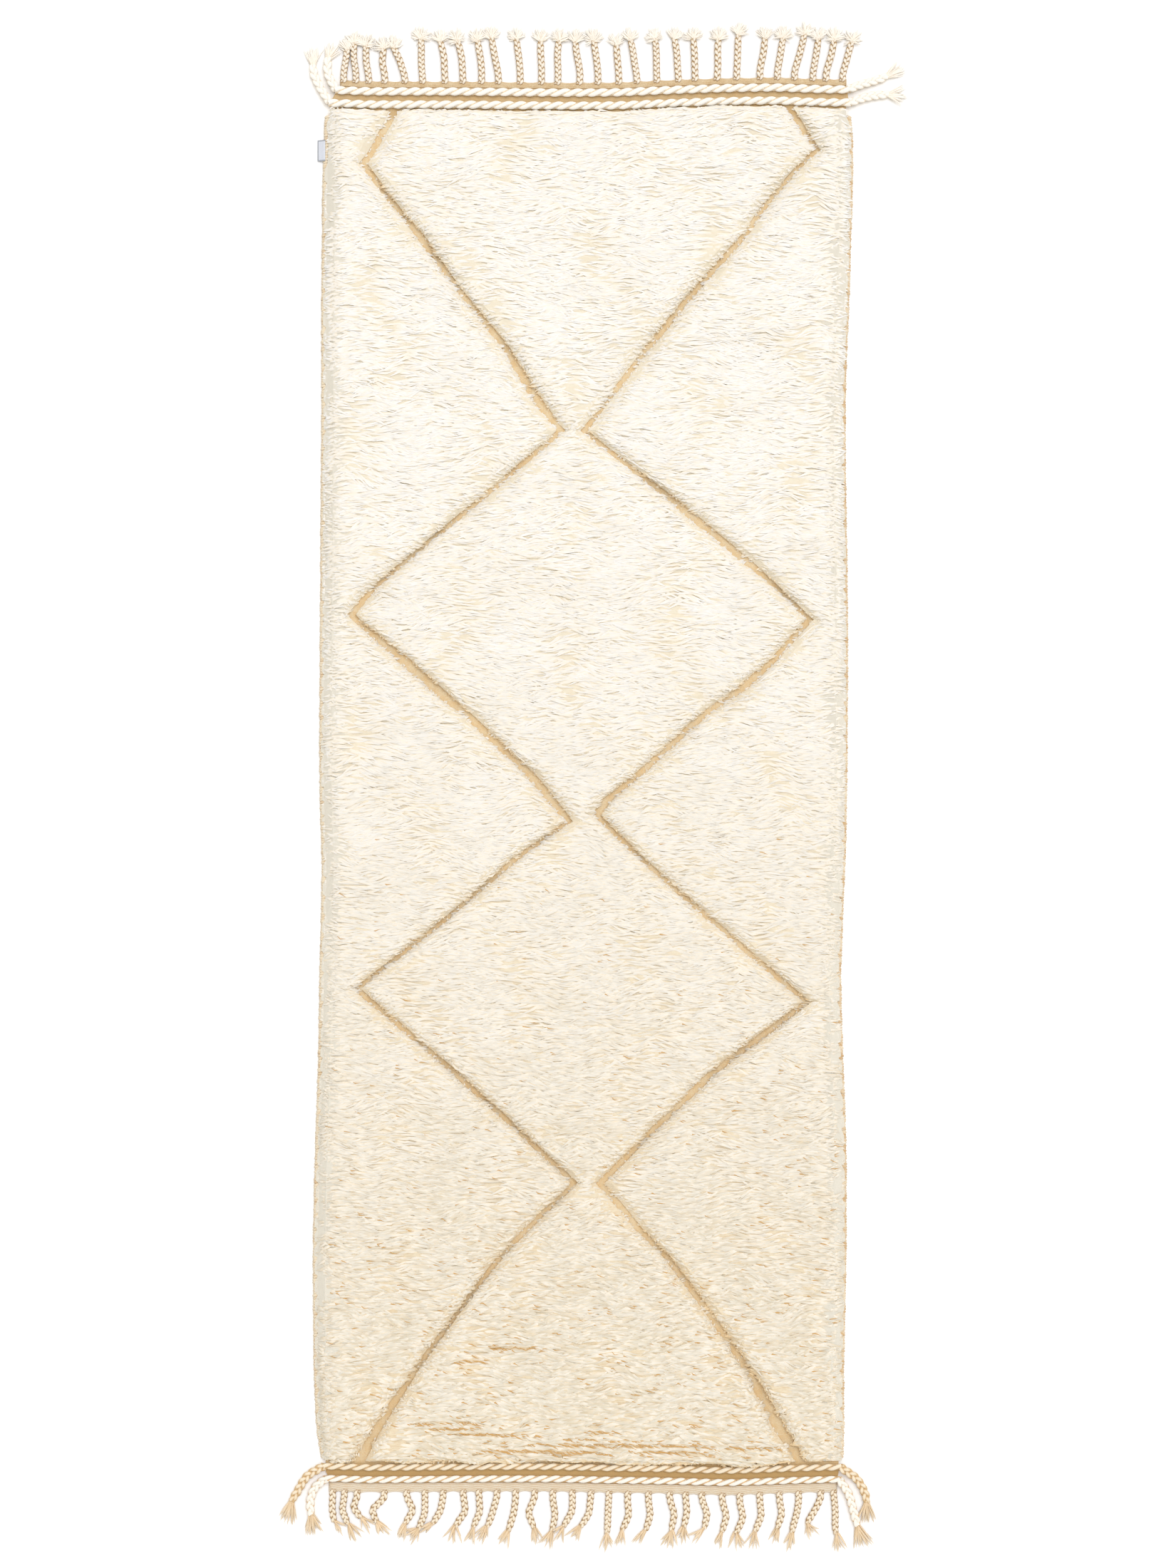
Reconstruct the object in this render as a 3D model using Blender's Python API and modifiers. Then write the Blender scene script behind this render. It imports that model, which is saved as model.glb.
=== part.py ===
"""A hand-knotted wool runner in the Beni Ourain manner, lying flat.

Cream pile stands on a flat weave. Two bare zigzag lines run the length of the rug, and each end
has a flat band with two chain-stitched cords and a row of plaited fringe. Units are metres, and
the tables are in millimetres. +Y runs towards the end that is drawn at the top, +X to the right,
and the origin is the middle of the underside.
"""

from collections import namedtuple

import bmesh
import bpy
import numpy as np
from mathutils import Vector, noise

MM = 0.001

# Driving heights and widths
WEAVE = 4.0 * MM  # the flat weave that carries the pile
PILE_TOP = 21.5 * MM  # mean height of the combed pile above the floor
SWELL = 5.0 * MM  # broad undulation of the pile
SWELL_SPAN = (130 * MM, 170 * MM)  # and about how far apart its swells are, along X and Y
LUMP = 7.0 * MM  # smaller lumps
LUMP_SPAN = (60 * MM, 42 * MM)
RIM_DROP = 4.5 * MM  # the pile rounds off by this much at a bare line
SIDE_HEIGHT = 13.0 * MM  # and falls to this along the rug's long sides
SIDE_LUMP = 3.0 * MM  # unevenness of that lower rim
SHOULDER = 12.0 * MM  # width of that rounding
SHOULDER_SHARE = 0.3  # or this share of a panel, where the panel is narrow
WALL_LEAN = 0.6 * MM  # a bare line is this much narrower at its floor, each side
RAGGED = 1.4 * MM  # how far the tufts make a rim wander
RAGGED_SPAN = (20 * MM, 20 * MM)
# Each kind of unevenness reads its own layer of the noise
LAYERS = {"swells": 3.1, "lumps": 9.7, "sides": 1.7, "locks": 4.4, "left rims": 0.0, "right rims": 5.0}

ROW_STEP = 34.0 * MM  # longest distance between two cross sections
PANEL_CELLS = (5, 7, 5)  # inner cells of the left, middle and right pile panels

GAP = 0.3 * MM  # between neighbouring pieces
SELVEDGE_WIDTH = 7.0 * MM
SELVEDGE_HEIGHT = 5.0 * MM
SELVEDGE_SPAN = (-1014.0 * MM, 1022.0 * MM)
# Its section, as shares of its width from the cloth outwards and of its height
SELVEDGE_SECTION = ((0.0, 0.0), (1.0, 0.0), (1.0, 0.7), (0.5, 1.0), (0.0, 0.8))

# Locks of wool that hang over the selvedge
LOCK_SILL = 5.7 * MM  # a lock's lowest point
LOCK_LEAST = 3.0 * MM  # and the least height of wall that carries one
LOCK_REACH = 4.5 * MM
LOCK_TAPER = 0.5
LOCK_SWEEP = -3.0 * MM  # combed towards the lower end

# Chain-stitched cords
CORD_LIFT = WEAVE + GAP
# A cord's section, as shares of its half width and of its height
CORD_SECTION = ((-0.7, 0.0), (0.7, 0.0), (1.0, 0.5), (0.0, 1.0), (-1.0, 0.5))
LINK_PITCH = 19.0 * MM
LINK_WAIST = (3.4 * MM, 4.6 * MM)  # half width, height
LINK_BELLY = (5.7 * MM, 8.4 * MM)
LINK_SLANT = 4.0 * MM
TAIL = (5.5 * MM, 8.5 * MM)
TAIL_TIE = (4.0 * MM, 7.0 * MM)
TAIL_FLARE = (8.0 * MM, 8.0 * MM)
TAIL_TIP = (3.0 * MM, 2.5 * MM)
TAIL_FLARE_AT = 0.35  # between the tie and the tip

# Fringe
STRAND = (4.8 * MM, 8.0 * MM)
STRAND_TIE = (3.8 * MM, 6.5 * MM)
STRAND_FLARE = (6.6 * MM, 7.0 * MM)
STRAND_TIP = (3.0 * MM, 2.0 * MM)
STRAND_CREST = 0.55  # width of a strand's top against its foot
NEAR_AT = 0.1  # along a strand's length: the end of its straight start,
BEND_AT = 0.4  # its bend,
TIE_AT = 0.70  # the tie where its plait ends and the loose brush starts,
FLARE_AT = 0.82  # and the brush's widest point
HEADING_MARGIN = 1.5 * MM  # heading strip beyond its outermost strand
HEADING_GAP = 0.5 * MM  # clears the slight kinks of the cloth's end

LABEL_PLACE = 971.0 * MM
LABEL_LENGTH = 32.0 * MM
LABEL_THICKNESS = 1.0 * MM
# Section of the label, from above the selvedge out to its free edge: distance inside the
# selvedge's outer side, height
LABEL_SECTION = ((3.0 * MM, 6.3 * MM), (-1.0 * MM, 5.4 * MM), (-9.0 * MM, 1.8 * MM))

# One row for each bend of the outline or of a bare line, from the upper end to the lower:
# y, the cloth's left edge, the left bare line's centre and width, the right one's, the right edge
CrossRow = namedtuple("CrossRow", "y left bare_left width_left bare_right width_right right")
CROSS_ROWS = [
    CrossRow(*row)
    for row in (
        (1065.0, -371.5, -287.0, 16, 312.0, 14, 400.5),
        (1044.0, -383.0, -287.0, 16, 312.0, 14, 403.0),
        (1030.0, -384.5, -287.0, 16, 312.0, 14, 398.5),
        (997.0, -387.0, -305.5, 13, 334.5, 13, 402.0),
        (968.0, -388.0, -321.5, 13, 354.0, 13, 402.5),
        (950.0, -388.5, -334.5, 13, 334.5, 11, 403.0),
        (889.0, -390.0, -289.0, 12, 278.5, 11, 402.0),
        (846.0, -390.0, -252.5, 15, 248.0, 12, 400.0),
        (759.0, -391.0, -189.5, 12, 170.5, 14, 398.0),
        (673.0, -391.0, -119.5, 14, 100.0, 14, 394.0),
        (586.0, -391.0, -66.5, 18, 33.0, 10, 391.5),
        (545.0, -391.0, -34.0, 14, 1.5, 12, 391.5),
        (521.5, -391.5, -61.0, 12, 29.5, 12, 391.5),
        (435.0, -392.0, -162.5, 14, 141.0, 19, 392.5),
        (348.5, -392.5, -267.5, 12, 245.0, 20, 394.0),
        (305.5, -392.5, -319.5, 12, 294.5, 12, 394.5),
        (265.5, -393.0, -352.0, 13, 335.5, 12, 395.0),
        (258.0, -393.0, -345.5, 14, 343.0, 13, 395.0),
        (197.5, -393.5, -274.0, 23, 290.0, 13, 395.0),
        (154.0, -393.5, -226.5, 24, 241.5, 20, 395.0),
        (111.0, -394.0, -174.5, 18, 180.0, 16, 394.5),
        (24.5, -394.0, -82.5, 18, 86.0, 15, 394.0),
        (-19.0, -393.5, -47.0, 18, 33.0, 19, 393.5),
        (-39.5, -393.0, -29.5, 15, 21.0, 14, 393.0),
        (-49.0, -392.5, -22.0, 13, 31.0, 13, 393.0),
        (-105.5, -390.5, -103.0, 12, 88.0, 13, 391.5),
        (-192.0, -391.5, -202.5, 12, 186.5, 13, 387.5),
        (-278.5, -394.0, -313.0, 12, 287.0, 13, 384.5),
        (-303.0, -394.5, -344.5, 13, 315.0, 13, 385.0),
        (-322.5, -394.5, -322.5, 14, 340.0, 15, 385.5),
        (-386.5, -395.5, -247.0, 13, 254.5, 18, 387.0),
        (-429.5, -396.5, -196.0, 13, 197.5, 17, 388.5),
        (-516.0, -399.5, -101.0, 13, 107.5, 14, 392.0),
        (-598.5, -402.0, -13.5, 13, 25.5, 14, 393.0),
        (-667.5, -403.5, -86.0, 12, 84.0, 13, 393.0),
        (-711.0, -404.0, -127.0, 11, 128.0, 13, 393.0),
        (-797.0, -403.5, -193.0, 10, 192.0, 13, 391.0),
        (-883.5, -402.5, -256.5, 11, 251.5, 15, 389.0),
        (-970.0, -399.0, -313.0, 16, 299.0, 22, 389.5),
        (-1020.5, -391.5, -341.0, 18, 331.5, 19, 388.0),
        (-1040.0, -391.5, -341.0, 18, 331.5, 19, 388.0),
        (-1054.7, -385.0, -341.0, 18, 331.5, 19, 384.0),
    )
]
PILE_SPAN = (-1020.5 * MM, 1030.0 * MM)
PILE_FOOT = 1.3 * MM  # the pile's foot stands this far beyond its rim, at each end
CORNER = 5.0 * MM  # the underside's side rails stop at least this far before the cloth's ends

# The ends aren't quite straight: x, how far the end band lies outwards (+) or inwards there
UPPER_BOW = (
    (-384, 4), (-333, 1), (-204, 1), (-31, -1), (56, -0.5),
    (99, 2), (185, 5), (272, 8), (358, 4.5), (410, 3.5),
)
LOWER_BOW = (
    (-392, -3), (-333, 0), (-204, -1), (-74, -2), (12, 0),
    (142, 2), (185, 4.5), (229, 4.5), (315, 1), (395, -1),
)
BOW_REACH = (860 * MM, 1020 * MM)  # the bow fades out between these distances from the middle

# Each chain cord: its line, where it leaves the cloth, and the stations of its loose tails
Cord = namedtuple("Cord", "name y left_tail right_tail")
CORDS = [
    Cord("cord_upper_outer", 1059.2,
         ((-376, 1063.5), (-384, 1077), (-390, 1092), (-388, 1112), (-380, 1138)),
         ((402.5, 1063.5), (418, 1070), (442, 1077), (465, 1085), (488, 1102))),
    Cord("cord_upper_inner", 1039.4,
         ((-386, 1045), (-398, 1063), (-410, 1086), (-412, 1111), (-411, 1133)),
         ((404.5, 1043.5), (421, 1050), (443, 1055), (469, 1057), (495, 1057))),
    Cord("cord_lower_inner", -1030.2,
         ((-394, -1028), (-421, -1043), (-435, -1068), (-449, -1090), (-453, -1118)),
         ((390.5, -1030), (416, -1047), (429, -1070), (432, -1094), (429, -1120))),
    Cord("cord_lower_outer", -1048.8,
         ((-391, -1047), (-409, -1060), (-416, -1082), (-413, -1109), (-410, -1136)),
         ((388.5, -1048), (404, -1070), (411, -1099), (419, -1127), (428, -1157))),
]

# Plaited strands, left to right: x at the heading, x at the bend, x where the plait ends, and
# the loose brush's tip
Strand = namedtuple("Strand", "root bend tie tip_x tip_y")
UPPER_STRANDS = [
    Strand(*row)
    for row in (
        (-364, -362, -359, -365, 1147),
        (-346, -349, -348, -348, 1162),
        (-326, -331, -331, -329, 1156),
        (-302, -306, -303, -310, 1150),
        (-271, -279, -290, -291, 1152),
        (-244, -247, -247, -248, 1171),
        (-210, -212, -218, -223, 1165),
        (-183, -185, -192, -193, 1168),
        (-155, -156, -161, -167, 1167),
        (-129, -135, -140, -141, 1173),
        (-96, -98, -102, -105, 1171),
        (-64, -64, -65, -66, 1167),
        (-39, -39, -37, -38, 1169),
        (-6, -8, -12, -14, 1166),
        (22, 20, 16, 14, 1168),
        (54, 52, 50, 47, 1158),
        (82, 76, 71, 70, 1169),
        (112, 111, 109, 105, 1170),
        (145, 142, 138, 136, 1169),
        (170, 169, 167, 165, 1170),
        (203, 205, 206, 205, 1169),
        (233, 235, 236, 237, 1178),
        (269, 273, 276, 278, 1169),
        (295, 300, 304, 306, 1171),
        (321, 330, 337, 337, 1179),
        (349, 354, 358, 361, 1169),
        (369, 377, 382, 384, 1169),
        (394, 402, 409, 412, 1165),
    )
]
LOWER_STRANDS = [
    Strand(*row)
    for row in (
        (-381, -382, -379, -369, -1132),
        (-363, -367, -358, -348, -1138),
        (-344, -350, -339, -327, -1123),
        (-303, -321, -314, -300, -1132),
        (-269, -258, -271, -281, -1136),
        (-241, -241, -251, -261, -1149),
        (-213, -217, -229, -244, -1136),
        (-183, -179, -195, -206, -1143),
        (-159, -157, -167, -179, -1143),
        (-131, -138, -146, -161, -1143),
        (-103, -106, -114, -119, -1152),
        (-74, -84, -75, -74, -1145),
        (-46, -43, -48, -57, -1152),
        (-17, -17, -30, -38, -1142),
        (12, 9, -4, -16, -1142),
        (39, 37, 36, 34, -1158),
        (68, 69, 59, 57, -1149),
        (99, 102, 95, 84, -1149),
        (131, 139, 134, 129, -1149),
        (155, 158, 153, 150, -1142),
        (180, 189, 184, 171, -1145),
        (211, 218, 211, 203, -1152),
        (238, 243, 232, 230, -1155),
        (268, 271, 261, 258, -1152),
        (298, 302, 295, 286, -1145),
        (327, 324, 317, 309, -1155),
        (361, 352, 340, 338, -1135),
        (380, 384, 384, 383, -1158),
    )
]
# Heading strips: where the cloth ends, and how wide the strip is
UPPER_HEADING = (1065.0 * MM, 11.0 * MM)
LOWER_HEADING = (-1054.7 * MM, 15.5 * MM)

# Colours read off the photograph, linear
WOOL = (0.87, 0.80, 0.67)
WARM_WOOL = (0.82, 0.71, 0.54)
TAN_WEAVE = (0.64, 0.50, 0.32)
LABEL_WHITE = (0.72, 0.73, 0.80)
SHARP_ANGLE = 0.9  # radians: edges sharper than this stay creased in shading


def material(name, colour, roughness):
    """A plain, matt Principled material."""
    made = bpy.data.materials.new(name)
    made.use_nodes = True
    shader = made.node_tree.nodes["Principled BSDF"]
    shader.inputs["Base Color"].default_value = (*colour, 1.0)
    shader.inputs["Roughness"].default_value = roughness
    shader.inputs["Metallic"].default_value = 0.0
    return made


def finish(bm, name, surface, collection):
    """Turns a closed bmesh into a named object with smooth shading."""
    bmesh.ops.recalc_face_normals(bm, faces=bm.faces)
    mesh = bpy.data.meshes.new(name)
    bm.to_mesh(mesh)
    bm.free()
    mesh.materials.append(surface)
    mesh.shade_smooth()
    mesh.set_sharp_from_angle(angle=SHARP_ANGLE)
    made = bpy.data.objects.new(name, mesh)
    collection.objects.link(made)
    return made


# The rug's plan ------------------------------------------------------------------------------


def cross_row(y):
    """The outline and the bare lines at y, read between the table's rows."""
    known, *columns = zip(*reversed(CROSS_ROWS))
    return CrossRow(y, *(float(np.interp(y / MM, known, column)) * MM for column in columns))


def bow(x, y):
    """How far the end nearest to y is shifted along Y at this x."""
    table = UPPER_BOW if y > 0 else LOWER_BOW
    outwards = float(np.interp(x / MM, *zip(*table))) * MM
    strength = float(np.interp(abs(y), BOW_REACH, (0.0, 1.0)))
    return outwards * strength * (1 if y > 0 else -1)


def wander(x, y, span, layer):
    """Smooth noise between about -1 and 1, always the same for the same place and layer."""
    return noise.noise(Vector((x / span[0], y / span[1], layer)))


def pile_height(x, y):
    """Height of the combed pile, with broad swells and smaller lumps."""
    swell = wander(x, y, SWELL_SPAN, LAYERS["swells"])
    lump = wander(x, y, LUMP_SPAN, LAYERS["lumps"])
    return PILE_TOP + SWELL * swell + LUMP * lump


def panel_stations(start, end, cells):
    """x across one pile panel: rim, shoulder, even steps, shoulder, rim."""
    shoulder = min(SHOULDER, SHOULDER_SHARE * (end - start))
    inner = np.linspace(start + shoulder, end - shoulder, cells + 1)
    return [start, *map(float, inner), end]


def panel_points(y, start, end, cells, sides):
    """One panel's pile at y, as (x, height). sides tells which of its two rims is the rug's side."""
    stations = panel_stations(start, end, cells)
    points = [(x, pile_height(x, y)) for x in stations]
    for place, at_side in zip((0, -1), sides):
        x, height = points[place]
        if at_side:
            height = SIDE_HEIGHT + SIDE_LUMP * wander(x, y, RAGGED_SPAN, LAYERS["sides"])
        else:
            height -= RIM_DROP
        points[place] = (x, height)
    return points


def cross_section(y, with_pile=True):
    """The rug's upper surface at y, as (x, height) from the left edge to the right one."""
    row = cross_row(y)
    starts, ends = [row.left], []
    lines = ((row.bare_left, row.width_left), (row.bare_right, row.width_right))
    for number, (centre, width) in enumerate(lines):
        left, right = centre - width / 2, centre + width / 2
        ends.append(left + RAGGED * wander(left, y, RAGGED_SPAN, LAYERS["left rims"] + number))
        starts.append(right + RAGGED * wander(right, y, RAGGED_SPAN, LAYERS["right rims"] + number))
    ends.append(row.right)
    points = []
    last = len(PANEL_CELLS) - 1
    for panel, cells in enumerate(PANEL_CELLS):
        start, end = starts[panel], ends[panel]
        if panel > 0:
            points.append((start - WALL_LEAN, WEAVE))
        points += panel_points(y, start, end, cells, (panel == 0, panel == last))
        if panel < last:
            points.append((end + WALL_LEAN, WEAVE))
    if not with_pile:
        points = [(x, WEAVE) for x, _ in points]
    return points


def pile_rows():
    """Every y at which the rug is cut across, as (y, with_pile, rim), lowest first."""
    low, high = PILE_SPAN
    bends = sorted(row.y * MM for row in CROSS_ROWS)
    inner = [y for y in bends if low < y < high]
    inner = [low, low + SHOULDER, *inner, high - SHOULDER, high]
    rows = [(y, False, False) for y in bends if y < low]
    rows.append((low - PILE_FOOT, False, False))
    for here, after in zip(inner, inner[1:]):
        steps = max(1, int(np.ceil((after - here) / ROW_STEP)))
        for step in range(steps):
            y = here + (after - here) * step / steps
            rows.append((y, True, y == low))
    rows.append((high, True, True))
    rows.append((high + PILE_FOOT, False, False))
    rows += [(y, False, False) for y in bends if y > high]
    return rows


def cloth_outline(which):
    """The cloth's upper (-1) or lower (0) end as two lists, x and y."""
    y = sorted(row.y * MM for row in CROSS_ROWS)[which]
    stations = [x for x, _ in cross_section(y, with_pile=False)]
    return stations, [y + bow(x, y) for x in stations]


# Pile and weave ------------------------------------------------------------------------------


def upper_surface(bm):
    """The lumpy upper side: a grid whose columns follow the edges and the bare lines."""
    rows = pile_rows()
    sections = [cross_section(y, with_pile) for y, with_pile, _ in rows]
    across = len(sections[0])
    bmesh.ops.create_grid(bm, x_segments=across - 1, y_segments=len(rows) - 1, size=1.0)
    for vertex in bm.verts:
        column = round((vertex.co.x + 1) / 2 * (across - 1))
        line = round((vertex.co.y + 1) / 2 * (len(rows) - 1))
        y, with_pile, rim = rows[line]
        x, height = sections[line][column]
        if rim and height > WEAVE:
            height = max(height - RIM_DROP, SIDE_HEIGHT)
        vertex.co = (x, y + bow(x, y), height)
    print("pile_field:", len(rows), "rows of", across, "points")


def open_edges(bm):
    return [edge for edge in bm.edges if edge.is_boundary]


def walls(bm):
    """Drops the outline in two steps to the floor, and returns the upper wall's faces."""
    upper = bmesh.ops.extrude_edge_only(bm, edges=open_edges(bm))["geom"]
    for vertex in (item for item in upper if isinstance(item, bmesh.types.BMVert)):
        vertex.co.z = LOCK_SILL if vertex.co.z > LOCK_SILL else WEAVE / 2
    faces = [item for item in upper if isinstance(item, bmesh.types.BMFace)]
    lower = bmesh.ops.extrude_edge_only(bm, edges=open_edges(bm))["geom"]
    for vertex in (item for item in lower if isinstance(item, bmesh.types.BMVert)):
        vertex.co.z = 0.0
    return faces


def underside(bm):
    """Closes the flat underside: a ladder of strips between the long sides, then both ends."""
    rail_end = min(CROSS_ROWS[0].y, -CROSS_ROWS[-1].y) * MM - CORNER
    rails = []
    for edge in open_edges(bm):
        a, b = (vertex.co for vertex in edge.verts)
        along = abs(a.y - b.y) > abs(a.x - b.x)
        if along and max(abs(a.y), abs(b.y)) < rail_end:
            rails.append(edge)
    bmesh.ops.bridge_loops(bm, edges=rails)
    bmesh.ops.holes_fill(bm, edges=open_edges(bm), sides=0)


def rim_locks(bm, wall_faces):
    """Draws a lock of wool out of each stretch of the side walls, over the selvedge."""
    grown = 0
    for face in wall_faces:
        centre = face.calc_center_median()
        standing = [vertex for vertex in face.verts if vertex.co.z > LOCK_SILL + LOCK_LEAST]
        beside_label = centre.x < 0 and abs(centre.y - LABEL_PLACE) < LABEL_LENGTH
        on_selvedge = SELVEDGE_SPAN[0] < centre.y < SELVEDGE_SPAN[1]
        if len(standing) < 2 or beside_label or not on_selvedge:
            continue
        outwards = 1 if centre.x > 0 else -1
        reach = LOCK_REACH + RAGGED * wander(centre.x, centre.y, RAGGED_SPAN, LAYERS["locks"])
        tip = bmesh.ops.extrude_discrete_faces(bm, faces=[face])["faces"][0]
        for vertex in tip.verts:
            vertex.co.x += outwards * reach
            vertex.co.y = centre.y + LOCK_TAPER * (vertex.co.y - centre.y) + LOCK_SWEEP
            vertex.co.z = LOCK_SILL + GAP + LOCK_TAPER * (vertex.co.z - LOCK_SILL)
        grown += 1
    print("pile_field:", grown, "locks over the selvedges")


def pile_field(surface, collection):
    """The rug itself: flat weave, pile and bare lines in one solid."""
    bm = bmesh.new()
    upper_surface(bm)
    upper_wall = walls(bm)
    underside(bm)
    rim_locks(bm, upper_wall)
    return finish(bm, "pile_field", surface, collection)


# Bars, cords and strands ---------------------------------------------------------------------


def grow(bm, face, corners):
    """Extrudes a face and puts its corners on these places. Returns the new face."""
    tip = bmesh.ops.extrude_discrete_faces(bm, faces=[face])["faces"][0]
    for vertex, corner in zip(tip.verts, corners):
        vertex.co = corner
    return tip


def loft(rings):
    """A closed bmesh through these rings, each a list of places in the same order."""
    bm = bmesh.new()
    bmesh.ops.create_circle(bm, cap_ends=True, segments=len(rings[0]), radius=1.0)
    bm.faces.ensure_lookup_table()
    face = bm.faces[0]
    for vertex, corner in zip(face.verts, rings[0]):
        vertex.co = corner
    for ring in rings[1:]:
        face = grow(bm, face, ring)
    bmesh.ops.holes_fill(bm, edges=open_edges(bm), sides=0)
    return bm


def selvedge(name, side, surface, collection):
    """The overcast edge: a rounded bar beside the cloth. side is -1 for left, 1 for right."""
    low, high = SELVEDGE_SPAN
    bends = sorted(row.y * MM for row in CROSS_ROWS)
    rings = []
    for y in [low, *(y for y in bends if low < y < high), high]:
        row = cross_row(y)
        inner = (row.left if side < 0 else row.right) + side * GAP
        y += bow(inner, y)
        rings.append([
            Vector((inner + side * across * SELVEDGE_WIDTH, y, up * SELVEDGE_HEIGHT))
            for across, up in SELVEDGE_SECTION
        ])
    return finish(loft(rings), name, surface, collection)


def cord_ring(centre, heading, size, slant=0.0):
    """Five places round a cord, flat below. centre.z is the underside's height."""
    half_width, height = size
    heading = Vector((heading.x, heading.y, 0.0)).normalized()
    side = Vector((heading.y, -heading.x, 0.0))
    ring = []
    for across, up in CORD_SECTION:
        lift = Vector((0.0, 0.0, up * height))
        ring.append(centre + side * across * half_width + heading * across * slant + lift)
    return ring


def tail_rings(tail):
    """Rings of a loose tail, from the cloth's edge outwards: plait, tie, brush and tip."""
    places = [Vector((x * MM, y * MM, 0.0)) for x, y in tail]
    places[0].z = CORD_LIFT
    tie, tip = places[-2], places[-1]
    places.insert(-1, tie.lerp(tip, TAIL_FLARE_AT))
    sizes = (TAIL, TAIL, TAIL, TAIL_TIE, TAIL_FLARE, TAIL_TIP)
    rings = []
    for number, (place, size) in enumerate(zip(places, sizes)):
        before, after = places[max(number - 1, 0)], places[min(number + 1, len(places) - 1)]
        rings.append(cord_ring(place, after - before, size))
    return rings


def chain_rings(cord):
    """Rings of the stitched length: a narrow waist and a slanted belly for each link."""
    margin = LINK_PITCH / 2
    start = cord.left_tail[0][0] * MM + margin
    end = cord.right_tail[0][0] * MM - margin
    links = round((end - start) / LINK_PITCH)
    row = [x for x, _ in cross_section(PILE_SPAN[1 if cord.y > 0 else 0])]
    bends = [bow(x, cord.y * MM) for x in row]
    rings = []
    for half in range(2 * links + 1):
        x = start + (end - start) * half / (2 * links)
        y = cord.y * MM + float(np.interp(x, row, bends))
        size = LINK_BELLY if half % 2 else LINK_WAIST
        rings.append(cord_ring(Vector((x, y, CORD_LIFT)), Vector((1, 0, 0)), size, LINK_SLANT))
    return rings


def chain_cord(cord, surface, collection):
    """A chain-stitched cord with a loose tail at each end."""
    left = []
    for ring in reversed(tail_rings(cord.left_tail)):
        # The tail's rings look outwards, so the left one's are turned to run with the cord
        left.append([ring[1], ring[0], ring[4], ring[3], ring[2]])
    rings = left + chain_rings(cord) + tail_rings(cord.right_tail)
    return finish(loft(rings), cord.name, surface, collection)


def strand_path(strand, foot_y):
    """Stations of one plaited strand as (place, size), from its heading to its tip."""
    length = strand.tip_y * MM - foot_y
    tie_y = foot_y + TIE_AT * length
    foot = Vector((strand.root * MM, foot_y, 0.0))
    bend = Vector((strand.bend * MM, foot_y + BEND_AT * length, 0.0))
    tie = Vector((strand.tie * MM, tie_y, 0.0))
    tip = Vector((strand.tip_x * MM, strand.tip_y * MM, 0.0))
    near = foot.lerp(bend, NEAR_AT / BEND_AT)
    near.x = strand.root * MM
    far = bend.lerp(tie, 0.5)
    flare = tie.lerp(tip, (FLARE_AT - TIE_AT) / (1 - TIE_AT))
    return (
        (near, STRAND), (bend, STRAND), (far, STRAND),
        (tie, STRAND_TIE), (flare, STRAND_FLARE), (tip, STRAND_TIP),
    )


def grow_strand(bm, root_face, strand, outwards):
    """Grows one plaited strand out of its root on the heading strip."""
    centre = root_face.calc_center_median()
    side_of_x = 1 if outwards > 0 else -1
    corners = [
        ((1 if vertex.co.x > centre.x else -1) * side_of_x, vertex.co.z > centre.z)
        for vertex in root_face.verts
    ]
    path = strand_path(strand, centre.y)
    places = [Vector((centre.x, centre.y, 0.0)), *(place for place, _ in path)]
    face = root_face
    for number, (place, (half_width, height)) in enumerate(path, start=1):
        after = places[min(number + 1, len(places) - 1)]
        heading = (after - places[number - 1]).normalized()
        side = Vector((heading.y, -heading.x, 0.0))
        ring = []
        for across, on_top in corners:
            reach = across * half_width * (STRAND_CREST if on_top else 1.0)
            ring.append(place + side * reach + Vector((0.0, 0.0, height if on_top else 0.0)))
        face = grow(bm, face, ring)


def fringe(name, heading, strands, surface, collection):
    """A narrow heading strip beside the cloth's end, with its row of plaited strands."""
    cloth_end, strip_width = heading
    outwards = 1 if cloth_end > 0 else -1
    line = cloth_outline(-1 if cloth_end > 0 else 0)
    half_width = STRAND[0]
    stations = [strands[0].root * MM - half_width - HEADING_MARGIN]
    for strand in strands:
        stations += [strand.root * MM - half_width, strand.root * MM + half_width]
    stations.append(strands[-1].root * MM + half_width + HEADING_MARGIN)
    bm = bmesh.new()
    bmesh.ops.create_grid(bm, x_segments=len(stations) - 1, y_segments=1, size=1.0)
    for vertex in bm.verts:
        x = stations[round((vertex.co.x + 1) / 2 * (len(stations) - 1))]
        inner = float(np.interp(x, *line)) + outwards * HEADING_GAP
        outer = vertex.co.y * outwards > 0
        vertex.co = (x, inner + outwards * strip_width * outer, WEAVE)
    strip = bmesh.ops.extrude_face_region(bm, geom=bm.faces[:])["geom"]
    for vertex in (item for item in strip if isinstance(item, bmesh.types.BMVert)):
        vertex.co.z = 0.0
    bmesh.ops.recalc_face_normals(bm, faces=bm.faces)
    outer_faces = [face for face in bm.faces if face.normal.y * outwards > 0.5]
    for strand in strands:
        root = min(outer_faces, key=lambda face: abs(face.calc_center_median().x - strand.root * MM))
        outer_faces.remove(root)
        grow_strand(bm, root, strand, outwards)
    print(name + ":", len(strands), "strands")
    return finish(bm, name, surface, collection)


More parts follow.
